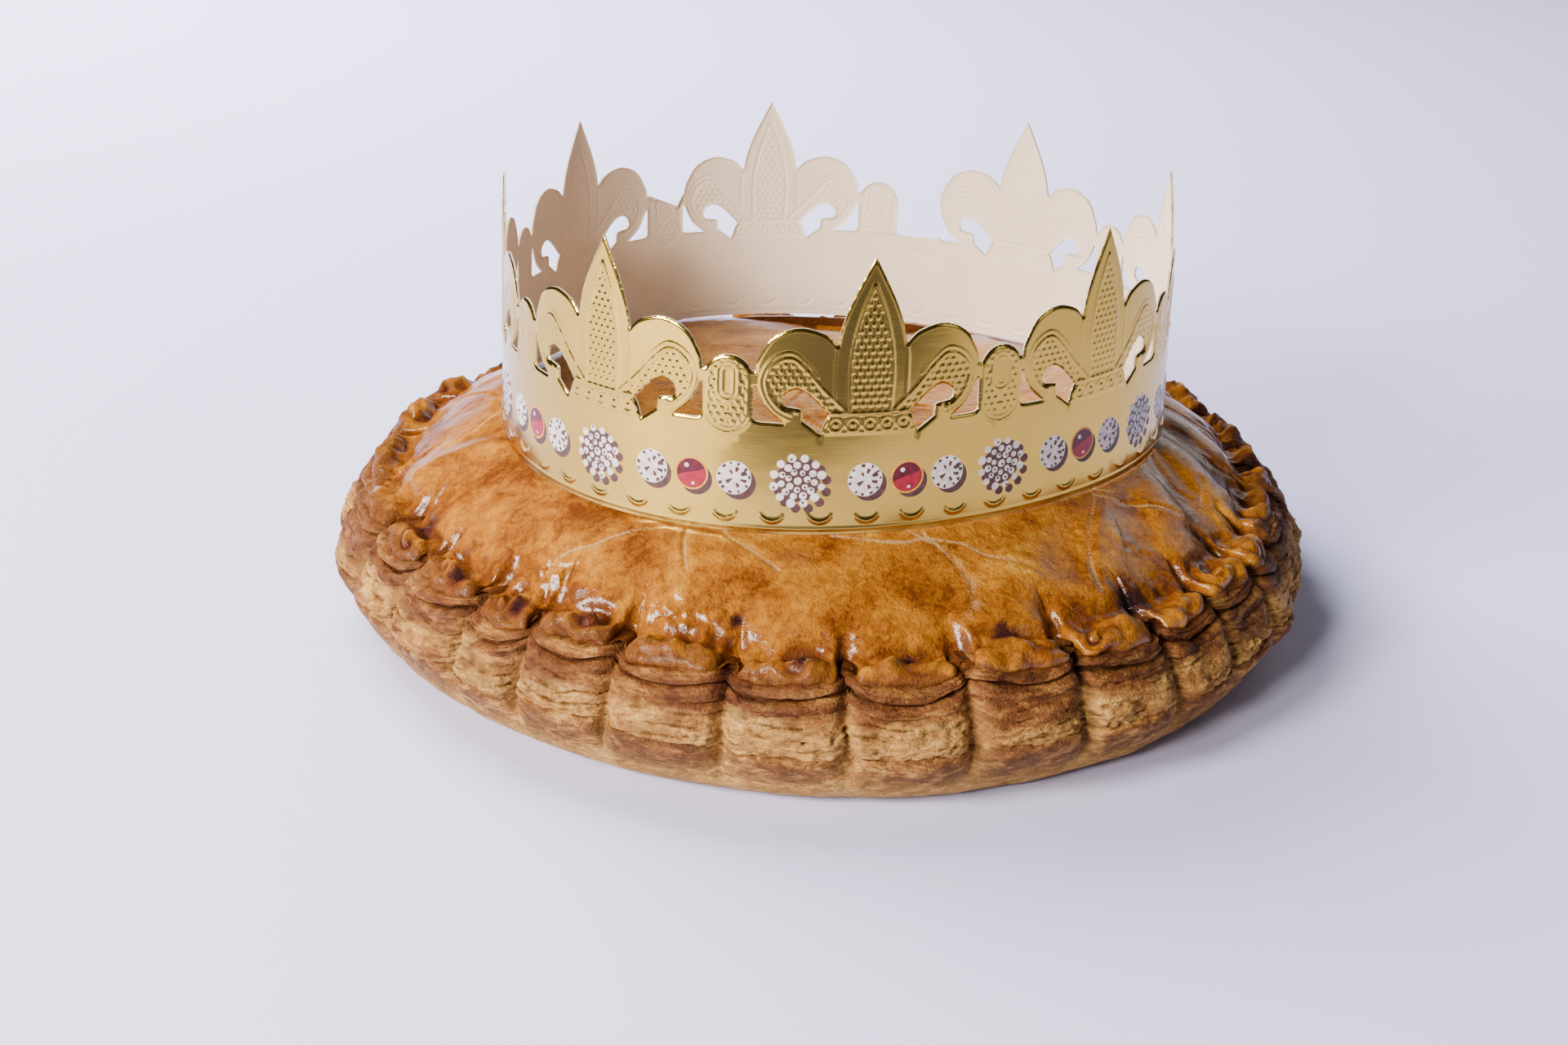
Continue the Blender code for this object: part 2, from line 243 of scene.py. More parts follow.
# The flat strip of card: x along it from a fleur's middle, y up from its foot.
FLEURS = 8
FIRST_FLEUR = -4
FLEUR_PITCH = 73.0
FLEUR_HEIGHT = 72.5
FRONT_FLEUR_ARC = 11.9
OUTER_END = 43.0
INNER_END = 55.5
LAST_FLEUR = FIRST_FLEUR + FLEURS - 1
STRIP_START = FIRST_FLEUR * FLEUR_PITCH - OUTER_END
STRIP_END = LAST_FLEUR * FLEUR_PITCH + INNER_END
LAP_STEP = 0.9
LAP_RAMP = (20.0, 30.0)
BAND_HEIGHT = 29.8
CARD_GRID = 0.4
PLAIN_BAND = (6.4, 26.4)
PLAIN_GRID = 2.5

# One fleur's right half; each run of points is a smooth curve, and runs meet in corners.
OVAL_X = FLEUR_PITCH / 2
OVAL_HALF_WIDTH = 6.3
OVAL_SHOULDER = 40.7
OVAL_FOOT = 32.9
OVAL_BRIDGE = 43.1
PETAL_RUN = ((29.6, 43.1), (29.0, 46.3), (25.3, 52.1), (18.9, 54.6), (12.4, 53.1), (9.0, 50.1))
LEAF_RUN = ((9.0, 50.1), (7.8, 55.7), (5.2, 62.4), (0.0, 72.5))
HOOK_RUNS = (
    ((10.6, 32.0), (14.5, 36.1), (17.5, 38.3), (19.8, 38.6), (21.9, 37.4), (22.5, 35.3), (21.6, 34.1)),
    ((21.6, 34.1), (18.2, 33.6), (17.5, 32.8), (17.3, 30.3)),
    ((17.3, 30.3), (12.8, 27.0)),
    ((12.8, 27.0), (12.3, 28.2), (12.0, 29.2), (11.4, 30.8), (10.6, 32.0)),
)
CORNER_RUNS = (
    ((29.9, 39.0), (30.0, 31.0)),
    ((30.0, 31.0), (29.4, 30.1), (28.0, 29.8)),
    ((28.0, 29.8), (22.2, 29.7)),
    ((22.2, 29.7), (26.4, 33.4), (28.9, 38.2), (29.2, 39.0)),
)
LEAF_RIDGE = ((0.0, 65.4), (1.9, 61.0), (3.3, 57.0), (5.0, 50.0), (5.6, 43.0), (5.2, 33.0))
LEAF_FLANK = ((9.0, 50.1), (9.4, 46.0), (9.4, 41.0), (9.3, 36.6))
CROOK_RIDGE = (
    (6.0, 32.8), (12.0, 38.5), (16.5, 43.6), (20.5, 46.7), (24.6, 45.2), (26.8, 41.3), (26.0, 37.0),
    (23.5, 33.8), (20.6, 32.2),
)
CROOK_ECHO = (
    (13.6, 42.0), (16.0, 45.0), (20.6, 48.2), (25.5, 46.2), (28.0, 41.4), (27.2, 36.6), (24.3, 32.8),
    (21.0, 31.0),
)
# The ridges that follow those runs: the run, how many points between its knots, and the height.
RIDGES = ((LEAF_RIDGE, 40, 0.26), (LEAF_FLANK, 30, 0.18), (CROOK_RIDGE, 30, 0.26), (CROOK_ECHO, 30, 0.15))
HONEYCOMB_PITCH = 2.0
HONEYCOMB_HEIGHT = 0.24
ROLLED_WIDTH = 0.8
ROLLED_DROP = 0.40
WAIST_HALF_WIDTH = 13.2
WAIST_LEVELS = (27.5, 32.4)
RING_PITCH = 4.45
RING_LEVEL = 29.5
RING_RADIUS = 1.75
CRESCENT_PITCH = FLEUR_PITCH / 6
CRESCENT_LEVEL = 6.9
CRESCENT_RADIUS = 3.5
CRESCENT_REACH = 3.1
CRESCENT_TOP = 5.9
FOOT_LINE = 1.5
# One oval at the back has the corner of its top turned down outwards: two points on the fold.
FOLDED_OVAL = -3.5
FOLD_LINE = ((6.0, 42.8), (-2.8, 46.6))
FOLD_RADIUS = 0.8

# Gems printed along the band: a cluster, a brilliant, a ruby and a brilliant, over and over.
GEM_LEVEL = 14.6
GEM_PERIOD = 56.0
FIRST_CLUSTER = -18.0
GEM_PLACES = (("cluster", 0.0), ("brilliant", 17.3), ("ruby", 28.5), ("brilliant", 39.7))
GEM_SHADOW = (1.3, -1.4)
GEM_STEP = 0.02
GEM_BEND = 1.5
GEM_MARGIN = 9.0
LAP_MARGIN = 8.0
GEM_SINK = 0.06
# Facets of a brilliant: the way they point, where they start and end, and half their angle.
DARK_FACETS = (
    (0.45, 2.1, 3.7, 0.20),
    (-0.25, 1.8, 3.4, 0.15),
    (3.75, 0.5, 2.4, 0.28),
    (2.0, 1.0, 2.2, 0.18),
    (1.25, 1.8, 3.1, 0.17),
    (5.2, 1.5, 2.8, 0.18),
)
BLUSH_FACETS = ((2.9, 2.0, 3.1, 0.10), (4.7, 1.2, 2.9, 0.10), (5.6, 0.8, 2.2, 0.09))
GIRDLE_FACETS = 11
# Rings of stones in a cluster: how many, how far from its middle, and their size.
CLUSTER_RINGS = ((12, 6.25, 1.22), (11, 4.25, 1.02), (7, 2.45, 0.95), (1, 0.0, 1.1))

# Colours of the crusts, and how their shades follow each other from pale to dark or dark to pale.
GLAZE_SHADES = (
    (0.00, (0.110, 0.026, 0.003)),
    (0.28, (0.215, 0.065, 0.004)),
    (0.52, (0.305, 0.105, 0.006)),
    (0.78, (0.390, 0.160, 0.012)),
    (1.00, (0.480, 0.238, 0.036)),
)
TOASTED_SHADES = ((0.35, (0.058, 0.016, 0.004)), (0.62, (0.150, 0.052, 0.013)))
CUT_CREAM = (0.430, 0.260, 0.110)
# GLAZE_SHADOW and DOUGH_SHADOW are painted shade, laid over the crusts where their value deep says.
GLAZE_SHADOW = (0.045, 0.010, 0.003)
SINGED = (0.075, 0.018, 0.007)
CHARRED = (0.016, 0.004, 0.005)
DOUGH_SHADES = (
    (0.02, (0.460, 0.250, 0.070)),
    (0.30, (0.275, 0.116, 0.027)),
    (0.60, (0.140, 0.046, 0.011)),
    (1.00, (0.060, 0.016, 0.005)),
)
DOUGH_CREAM = (0.540, 0.315, 0.086)
DOUGH_SHADOW = (0.042, 0.010, 0.003)
GOLD_SHADES = ((0.3, (0.530, 0.340, 0.054)), (0.7, (0.570, 0.374, 0.068)))

# Studio lights: name, place, aim, size, power and colour.
LIGHTS = (
    ("key", (-0.83, -0.69, 0.62), (0.0, 0.0, 0.05), (0.36, 0.32), 34.0, (1.0, 0.95, 0.85)),
    ("front_fill", (-0.62, -1.1, 0.6), (0.0, 0.0, 0.08), (0.25, 0.25), 19.0, (1.0, 0.95, 0.85)),
    ("pale_wall", (1.3, 1.3, 1.15), (0.0, 0.0, 0.05), (1.2, 1.2), 3.5, (0.95, 0.97, 1.0)),
    ("right_fill", (1.1, -0.7, 0.5), (0.0, 0.0, 0.03), (0.5, 0.5), 1.0, (1.0, 0.99, 0.98)),
    ("backlight", (-0.7, 0.9, 0.9), (-0.3, 0.4, 0.0), (0.9, 0.9), 76.0, (0.98, 0.99, 1.0)),
    ("horizon", (0.5, 1.6, 0.45), (0.0, 0.0, 0.05), (1.2, 0.3), 2.5, (0.98, 0.99, 1.0)),
)
CAMERA_PLACE = (0.00123, -0.57614, 0.27153)
CAMERA_LENS = 47.376
CAMERA_TURN = math.radians(1.198)
CAMERA_TIP = math.radians(65.914)
CAMERA_ROLL = math.radians(1.149)


# ------------------------------------------------------------------------------------------ numbers


def held(values):
    """Values kept between 0 and 1."""
    return np.clip(values, 0.0, 1.0)


def smooth_step(share):
    share = held(share)
    return share * share * (3.0 - 2.0 * share)


def rise(values, start, length):
    """0 up to a start, then smoothly up to 1 over a length; over a negative length it falls from 1 to 0."""
    return smooth_step((values - start) / length)


def bell(distance, width):
    return np.exp(-((distance / width) ** 2))


def angle_between(first, second):
    return (first - second + np.pi) % (2 * np.pi) - np.pi


def noise(points, size, seed):
    """Smooth random values from -1 to 1 over space, with lumps of the given size along x, y and z."""
    maker = np.random.default_rng(seed)
    order = maker.permutation(256)
    values = maker.uniform(-1.0, 1.0, 256)
    scaled = points / np.asarray(size, float)
    cell = np.floor(scaled).astype(int)
    near = scaled - cell
    near = near * near * (3.0 - 2.0 * near)
    total = np.zeros(len(points))
    for corner in np.ndindex(2, 2, 2):
        weight = np.prod(np.where(corner, near, 1.0 - near), axis=1)
        x, y, z = (cell + corner).T & 255
        total += weight * values[order[(order[(order[x] + y) & 255] + z) & 255]]
    return total


def bumps(points, layers):
    """Noise laid on noise, each layer with its height, the size of its lumps and its seed."""
    return sum(height * noise(points, size, seed) for height, size, seed in layers)


def lobe_draws(seed, count, low=-1.0):
    """Rows of random numbers from low to 1, with one number for each lobe."""
    return np.random.default_rng(seed).uniform(low, 1.0, (count, LOBES))


def curve_through(knots, places):
    """Rows of numbers on a smooth curve through knots; place 1.5 is halfway from knot 1 to knot 2."""
    knots = np.asarray(knots, float)
    last = len(knots) - 1
    index = np.clip(np.floor(places).astype(int), 0, last - 1)
    share = (places - index)[:, None]
    before = knots[np.maximum(index - 1, 0)]
    start = knots[index]
    end = knots[index + 1]
    after = knots[np.minimum(index + 2, last)]
    bend = 2 * before - 5 * start + 4 * end - after
    twist = 3 * start - before - 3 * end + after
    return 0.5 * (2 * start + (end - before) * share + bend * share**2 + twist * share**3)


def distance_to(curve, points):
    """How far each point lies from a run of close points."""
    steps = points[:, None, :] - curve[None, :, :]
    return np.sqrt((steps**2).sum(axis=2).min(axis=1))


def within(outline, points):
    """Whether each point lies inside a closed outline."""
    x, y = points.T
    inside = np.zeros(len(points), bool)
    for (x1, y1), (x2, y2) in zip(outline, np.roll(outline, -1, axis=0)):
        if y1 != y2:
            crosses = (y1 > y) != (y2 > y)
            inside ^= crosses & (x < (x2 - x1) * (y - y1) / (y2 - y1) + x1)
    return inside


def smooth_run(knots, steps=8):
    """Close points on a smooth curve through a run of knots."""
    return curve_through(knots, np.linspace(0.0, len(knots) - 1.0, (len(knots) - 1) * steps + 1))


def polar_run(knots, steps=24):
    """Close points on a smooth curve through knots given as radius and angle in degrees."""
    radius, degrees = smooth_run(knots, steps).T
    angle = np.radians(degrees)
    return np.stack((radius * np.sin(angle), -radius * np.cos(angle)), axis=1)


# ------------------------------------------------------------------------------------- turned rings


def out_of_round(angle, oval, corners):
    return 1.0 + oval[0] * np.cos(2 * (angle - oval[1])) + corners[0] * np.cos(3 * (angle - corners[1]))


def rim_factor(angle):
    return out_of_round(angle, RIM_OVAL, RIM_CORNERS)


def crown_factor(angle):
    return out_of_round(angle, CROWN_OVAL, CROWN_CORNERS)


def rimward(radius):
    """0 under the crown, rising to 1 at the rim."""
    return rise(radius, SHOULDER_RADIUS, RIM_INNER_RADIUS - SHOULDER_RADIUS)


def dome_height(x, y):
    """Height of the smooth dome."""
    outer = rimward(np.hypot(x, y))
    x = x - CROWN_CENTRE_X * (1.0 - outer)
    radius = np.hypot(x, y)
    angle = np.arctan2(x, -y)
    share = radius / (DOME_RADIUS * (outer * rim_factor(angle) + (1.0 - outer) * crown_factor(angle)))
    height = DOME_FOOT_HEIGHT + DOME_RISE * (1.0 - np.minimum(1.0, share) ** DOME_POWER)
    height += (CROWN_SLOPE_X * x + CROWN_SLOPE_Y * y) * (1.0 - outer)
    sunk = rise(radius, DIP_START, DIP_LENGTH) * (1.0 - outer)
    return height - DIP_DEPTH * sunk * bell(angle_between(angle, DIP_ANGLE), DIP_WIDTH)


def column_places(columns_per_lobe):
    """For each column: its angle, its lobe, and how far across the lobe it is, from 0 to 1."""
    even = np.arange(columns_per_lobe) / columns_per_lobe
    across = even - COLUMN_CROWDING * np.sin(2 * np.pi * even) / (2 * np.pi)
    counts = np.append((np.arange(LOBES)[:, None] + across).ravel(), LOBES)
    angles = np.interp(counts, np.arange(LOBES + 1), DENTS)
    lobes = np.append(np.repeat(np.arange(LOBES), columns_per_lobe), 0)
    return angles, lobes, np.append(np.tile(across, LOBES), 0.0)


def across_lobes(angle):
    """For each angle: the lobe it falls in, and how far across that lobe it is, from -1 to 1."""
    turned = np.mod(angle - DENTS[0], 2 * np.pi) + DENTS[0]
    lobe = np.clip(np.searchsorted(DENTS, turned, side="right") - 1, 0, LOBES - 1)
    return lobe, 2.0 * (turned - DENTS[lobe]) / (DENTS[lobe + 1] - DENTS[lobe]) - 1.0


def as_mesh(shape, name):
    """Turns a finished shape into a mesh."""
    mesh = bpy.data.meshes.new(name)
    shape.to_mesh(mesh)
    shape.free()
    return mesh


def add_object(name, data):
    thing = bpy.data.objects.new(name, data)
    bpy.context.scene.collection.objects.link(thing)
    return thing


def new_mesh(name, columns, rows):
    """A flat sheet of the given columns and rows, with its points between 0 and 1 each way."""
    sheet = bmesh.new()
    bmesh.ops.create_grid(sheet, x_segments=columns, y_segments=rows, size=0.5)
    bmesh.ops.translate(sheet, verts=sheet.verts, vec=(0.5, 0.5, 0.0))
    return as_mesh(sheet, name)


def points_of(mesh):
    flat = np.zeros(len(mesh.vertices) * 3, np.float32)
    mesh.vertices.foreach_get("co", flat)
    return flat.reshape(-1, 3).astype(float)


def move_points(mesh, points):
    mesh.vertices.foreach_set("co", np.ascontiguousarray(points, np.float32).ravel())
    mesh.update()


def outward(mesh):
    """The direction that each point's surface faces."""
    flat = np.zeros(len(mesh.vertices) * 3, np.float32)
    mesh.vertex_normals.foreach_get("vector", flat)
    return flat.reshape(-1, 3).astype(float)


def add_values(mesh, name, values):
    """Stores one number for each point, which the materials read by name."""
    layer = mesh.attributes.get(name) or mesh.attributes.new(name, "FLOAT", "POINT")
    layer.data.foreach_set("value", np.ascontiguousarray(values, np.float32))


def values_of(mesh, name):
    flat = np.zeros(len(mesh.vertices), np.float32)
    mesh.attributes[name].data.foreach_get("value", flat)
    return flat.astype(float)


def join_seams(mesh):
    """Merges the points where a sheet meets itself, and turns its faces outwards."""
    shape = bmesh.new()
    shape.from_mesh(mesh)
    bmesh.ops.remove_doubles(shape, verts=shape.verts, dist=1e-4)
    bmesh.ops.recalc_face_normals(shape, faces=shape.faces)
    shape.to_mesh(mesh)
    shape.free()


def turned_ring(name, section, columns_per_lobe, domed_rows=-1):
    """A closed ring or disc with the rim's lobes, following a section; its first rows may lie on the dome."""
    places = [index + step / point[5] for index, point in enumerate(section[:-1]) for step in range(point[5])]
    places = np.array(places + [len(section) - 1.0])
    rows = len(places) - 1
    mesh = new_mesh(name, columns_per_lobe * LOBES, rows)
    sheet = points_of(mesh)
    angles, lobes, across = column_places(columns_per_lobe)
    column = np.rint(sheet[:, 0] * columns_per_lobe * LOBES).astype(int)
    row = np.rint(sheet[:, 1] * rows).astype(int)
    curve = curve_through([point[:5] for point in section], places)
    lobe_radius, lobe_height, dent_radius, dent_height, sharpness = curve[row].T
    angle = angles[column]
    lobe = lobes[column]
    middle = 2.0 * across[column] - 1.0
    pinched = rise(lobe_height, CLEFT_FOOT, CLEFT_LENGTH) * smooth_step(np.abs(middle) ** CLEFT_POWER)
    fullness = np.sqrt(1.0 - LOBE_ROUNDING * np.abs(middle) ** sharpness) * (1.0 - pinched)
    reach, lift, tilt, sag = lobe_draws(LOBE_SEED, 4)
    radius = dent_radius + (lobe_radius - dent_radius) * fullness
    rim_share = rimward(radius)
    spread = fullness * held(lobe_height / LOBE_FULL_HEIGHT) * rim_share
    radius += LOBE_REACH_SPREAD * reach[lobe] * spread
    height = dent_height + (lobe_height - dent_height) * fullness
    height += (LOBE_LIFT_SPREAD * lift[lobe] + LOBE_TILT_SPREAD * tilt[lobe] * middle) * spread
    sagging = SAG * (1.0 + SAG_UNEVENNESS * sag[lobe]) * middle**2
    sagging += SAG_LEAN * tilt[lobe] * middle * (1.0 - middle**2)
    height += sagging * bell(lobe_height - SAG_HEIGHT, SAG_SPREAD) * rim_share
    factor = rim_share * rim_factor(angle) + (1.0 - rim_share) * crown_factor(angle)
    shift = CROWN_CENTRE_X * (1.0 - rim_share) * np.minimum(1.0, radius / CROWN_RADIUS)
    x = radius * factor * np.sin(angle) + shift
    y = -radius * factor * np.cos(angle)
    share = (row <= domed_rows) * (1.0 - rise(radius, DOMED_RADIUS, DOMED_BLEND))
    height = height * (1.0 - share) + dome_height(x, y) * share
    move_points(mesh, np.stack((x, y, height), axis=1))
    add_values(mesh, "place", places[row])
    join_seams(mesh)
    return mesh


def push_out(mesh, relief):
    """Moves each point by its relief along the direction its surface faces, but never below the table."""
    points = points_of(mesh) + outward(mesh) * relief[:, None]
    points[:, 2] = np.maximum(points[:, 2], 0.0)
    move_points(mesh, points)


def finish_piece(mesh, name, node, materials, smooth_angle=60.0):
    """Makes a shaped mesh, still in millimetres round the pie's axis, into a piece that stands for a node."""
    mesh.transform(Matrix.Scale(MM, 4) @ Matrix.Translation(AXIS))
    for material in materials:
        mesh.materials.append(material)
    mesh.shade_smooth()
    mesh.set_sharp_from_angle(angle=math.radians(smooth_angle))
    piece = add_object(name, mesh)
    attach(piece, "root")
    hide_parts(node)


# ------------------------------------------------------------------------------------------- pastry


def lobe_places(points):
    """Each point's radius with the rim's roundness taken out, angle, lobe and place across it."""
    angle = np.arctan2(points[:, 0], -points[:, 1])
    lobe, middle = across_lobes(angle)
    return np.hypot(points[:, 0], points[:, 1]) / rim_factor(angle), angle, lobe, middle


def build_side(crust):
    """The smooth lower crust, baked against the tray: soft lumps, and long low streaks between its layers."""
    mesh = turned_ring("side", SIDE_SECTION, 50)
    points = points_of(mesh)
    level = points[:, 2]
    _, angle, _, middle = lobe_places(points)
    dent = 1.0 - np.abs(middle)
    up = rise(level, 0.0, 4.0)
    cleft = bell(dent, 0.07) * rise(level, 9.0, 5.0)
    crack = bell(noise(points, (14, 14, 2.8), 25), 0.045) * rise(noise(points, (16, 16, 9), 26), 0.1, 0.3)
    push_out(mesh, (bumps(points, SIDE_BUMPS) - 0.2 * cleft - 0.5 * crack * up) * up)
    # Painted light: the clefts are painted paler and less toasted, for the light that falls into them.
    lit_cleft = bell(dent, 0.22)
    # deep: painted shade in the clefts and cracks.
    add_values(mesh, "deep", held(0.15 * cleft * rise(level, 3.0, 13.0) + 0.7 * crack))
    toast = 0.44 * rise(level, 2.0, 11.0) + 0.45 * noise(points, (22, 22, 12), 27) * up
    # Painted shade on the left and painted light on the right, through the toast.
    add_values(mesh, "toast", toast - RIM_PAINTED_LIGHT_TILT * np.sin(angle) - 0.12 - 0.3 * lit_cleft)
    add_values(mesh, "pale", bell(level - 1.0, 7.0) + 0.1 + 0.35 * lit_cleft)
    finish_piece(mesh, "lower_crust", "galette", [crust])


def leaves(points, thickness, seed):
    """Torn edges of thin dough leaves lying on each other: how far out a point is, and the gaps between."""
    wave = 1.3 * noise(points, (11, 11, 30), seed) + 0.6 * noise(points, (3.4, 3.4, 9), seed + 5)
    level = (points[:, 2] + wave + 1.2 * noise(points, (50, 50, 3.2), seed + 6)) / thickness
    leaf = np.floor(level)
    beside = np.abs(level - leaf - 0.5) * 2.0
    stacked = np.stack((points[:, 0], points[:, 1], leaf * 10.0), axis=1)
    reach = noise(stacked, 7.0, seed + 1) + 0.7 * noise(stacked, (2.2, 2.2, 7.0), seed + 2)
    gap = rise(beside, 0.6, 0.4) * rise(noise(stacked, (5.0, 5.0, 7.0), seed + 3), 0.05, 0.25)
    return reach, gap


def build_flakes(crust):
    """The puffed middle of the rim, where the dough's leaves show their torn edges."""
    mesh = turned_ring("flakes", FLAKES_SECTION, 50)
    points = points_of(mesh)
    _, angle, lobe, middle = lobe_places(points)
    dent = 1.0 - np.abs(middle)
    coarse, coarse_gap = leaves(points, 2.7, 31)
    fine, fine_gap = leaves(points, 1.1, 41)
    crumb = noise(points, (1.6, 1.6, 1.1), 51)
    pores = rise(noise(points, (1.6, 1.6, 1.0), 57), 0.15, 0.35)
    level = points[:, 2] + 2.6 * lobe_draws(FLAKE_SEED, 1)[0][lobe]
    rough = rise(noise(points, (13, 13, 5), 52), -0.45, 0.5) * rise(level, 26.0, -3.0)
    relief = 0.9 * noise(points, (8, 8, 5), 53) + 0.40 * coarse - 0.6 * coarse_gap
    relief += rough * (0.30 * fine - 0.25 * fine_gap + 0.45 * crumb - 0.55 * pores)
    push_out(mesh, relief)
    # deep: painted shade in the gaps between leaves, in the pores and in the clefts.
    deep = 0.85 * coarse_gap + 0.45 * rough * (fine_gap + pores) + 0.15 * bell(dent, 0.06)
    add_values(mesh, "deep", held(deep))
    # Painted light: the clefts are painted paler and less toasted, for the light that falls into them.
    lit_cleft = bell(dent, 0.2)
    toast = 0.75 * rise(level, 22.5, 3.0) + 0.25 * noise(points, (14, 14, 5), 54)
    # Painted shade on the left and painted light on the right, through the toast.
    toast -= RIM_PAINTED_LIGHT_TILT * np.sin(angle)
    add_values(mesh, "toast", toast * (1.0 - 0.5 * lit_cleft))
    add_values(mesh, "pale", held(rough * (0.55 + 0.45 * fine) + 0.3 * lit_cleft))
    finish_piece(mesh, "flaky_layers", "galette", [crust])


def build_rolls(crust):
    """The two toasted layers under the lip, each a soft roll with a dark crease."""
    mesh = turned_ring("rolls", ROLLS_SECTION, 48)
    points = points_of(mesh)
    place = values_of(mesh, "place")
    radius, _, lobe, middle = lobe_places(points)
    sag, lean = lobe_draws(ROLL_SEED, 2)
    fine, gap = leaves(points, 1.1, 62)
    open_side = rise(noise(points, (18, 18, 8), 66), -0.1, 0.4)
    crease = bell(place - 4.5, 0.6)
    cleft = bell(1.0 - np.abs(middle), 0.08)
    groove = bell(np.sin(math.pi * (1.25 * place + 0.5 * noise(points, (14, 14, 5), 71))), 0.4)
    groove *= rise(noise(points, (16, 16, 4), 72), -0.6, 0.6)
    relief = bumps(points, ROLL_BUMPS) - 0.5 * crease - 0.28 * groove
    push_out(mesh, relief + open_side * (0.25 * fine - 0.3 * gap))
    points = points_of(mesh)
    full = held(1.0 - middle**2) * rise(radius, 128.0, 6.0)
    points[:, 2] += full * (0.7 * sag[lobe] + 0.8 * lean[lobe] * middle) * rise(place, 1.0, 2.0)
    move_points(mesh, points)
    # deep: painted shade in the creases, gaps, grooves and clefts.
    add_values(mesh, "deep", held(0.7 * crease + 0.45 * open_side * gap + 0.4 * groove + 0.15 * cleft))
    add_values(mesh, "toast", 0.85 + 0.6 * noise(points, (12, 12, 3), 70))
    add_values(mesh, "pale", 0.4 * open_side * smooth_step(fine))
    finish_piece(mesh, "toasted_rolls", "galette", [crust])


def score_lines():
    """Every cut in the crust as a run of points, with how wide it is."""
    lines = [(polar_run(knots), SCORE_WIDTH) for knots in SCORES]
    spread = np.random.default_rng(STROKE_SEED)
    for leaf_angle in LEAF_ANGLES:
        for stroke in LEAF_STROKES:
            turn = leaf_angle + spread.uniform(-2.0, 2.0)
            lines.append((polar_run([(r, a + turn) for r, a in stroke]), STROKE_WIDTH))
    for count in range(CENTRE_STROKES):
        turn = 360.0 * (count + 0.5) / CENTRE_STROKES + spread.uniform(-4.0, 4.0)
        lines.append((polar_run([(r, a + turn) for r, a in CENTRE_STROKE], 60), STROKE_WIDTH))
    return lines


def scored(points):
    """How deep in a scored cut each point is, and how much on the puffed edge beside one."""
    flat = points[:, :2] + 0.5 * np.stack((noise(points, 6, 82), noise(points, 6, 83)), axis=1)
    cut = np.zeros(len(points))
    edge = np.zeros(len(points))
    for line, width in score_lines():
        low = line.min(axis=0) - 8.0
        high = line.max(axis=0) + 8.0
        near = np.flatnonzero(((flat > low) & (flat < high)).all(axis=1))
        distance = distance_to(line, flat[near])
        depth = 0.65 + 0.35 * noise(points[near], 9, 84)
        cut[near] = np.maximum(cut[near], bell(distance, width) * depth)
        edge[near] = np.maximum(edge[near], bell(distance - 1.9, 1.5))
    return cut, edge


def spots(points, places, scale=1.0):
    """How near each point is to any of some places, given as radius, angle in degrees and size."""
    wobble = 1.0 + 0.35 * noise(points, 2.5, 85)
    total = np.zeros(len(points))
    for radius, degrees, size in places:
        angle = math.radians(degrees)
        centre = np.array((radius * math.sin(angle), -radius * math.cos(angle)))
        distance = np.hypot(*(points[:, :2] - centre).T) * wobble
        total = np.maximum(total, bell(distance, size * scale))
    return total


def pleats(radius, angle):
    """How high the pleats on the right and the fold on the left stand."""
    belt = rise(radius, 95.5, 8.0) * rise(radius, 131.0, -10.0)
    drift = 0.35 * radius / DOME_RADIUS + 0.05 * np.sin(radius / 9.0)
    wave = np.cos(2 * math.pi * (angle + drift) / PLEAT_PITCH + 1.1 * np.sin(3.0 * angle))
    sharp = np.sign(wave) * np.abs(wave) ** 0.7
    right = bell(angle_between(angle, PLEATS_MIDDLE), PLEATS_SPREAD)
    fold_line = FOLD_ANGLE - FOLD_LEAN * (radius - 95.0)
    fold = bell(angle_between(angle, fold_line), math.radians(3.6))
    hollow = bell(angle_between(angle, fold_line + math.radians(8.5)), math.radians(4.5))
    return belt * (1.15 * sharp * right + 2.3 * fold - 0.9 * hollow)


def curls(points, radius, lobe, middle):
    """A rolled knot in the lip of each lobe, as a ridge winding round somewhere near its middle."""
    aside, inward, phase, turning, strength = lobe_draws(KNOT_SEED, 5)
    across = 13.5 * (middle - 0.6 * aside[lobe]) + 2.2 * noise(points, 8, 107)
    along = radius - 130.5 - 2.4 * inward[lobe] + KNOT_LEVEL - points[:, 2] + 2.0 * noise(points, 7, 108)
    around = np.arctan2(along, across) * np.where(turning[lobe] < 0.0, -1.0, 1.0)
    turn = 2 * math.pi * np.hypot(across, along) / 6.8 - around + 3.0 * phase[lobe]
    ridges = np.cos(turn) + 0.30 * np.cos(3.0 * turn + 1.0)
    return (0.75 + 0.35 * strength[lobe]) * ridges * bell(np.hypot(across, 1.1 * along), 10.0)


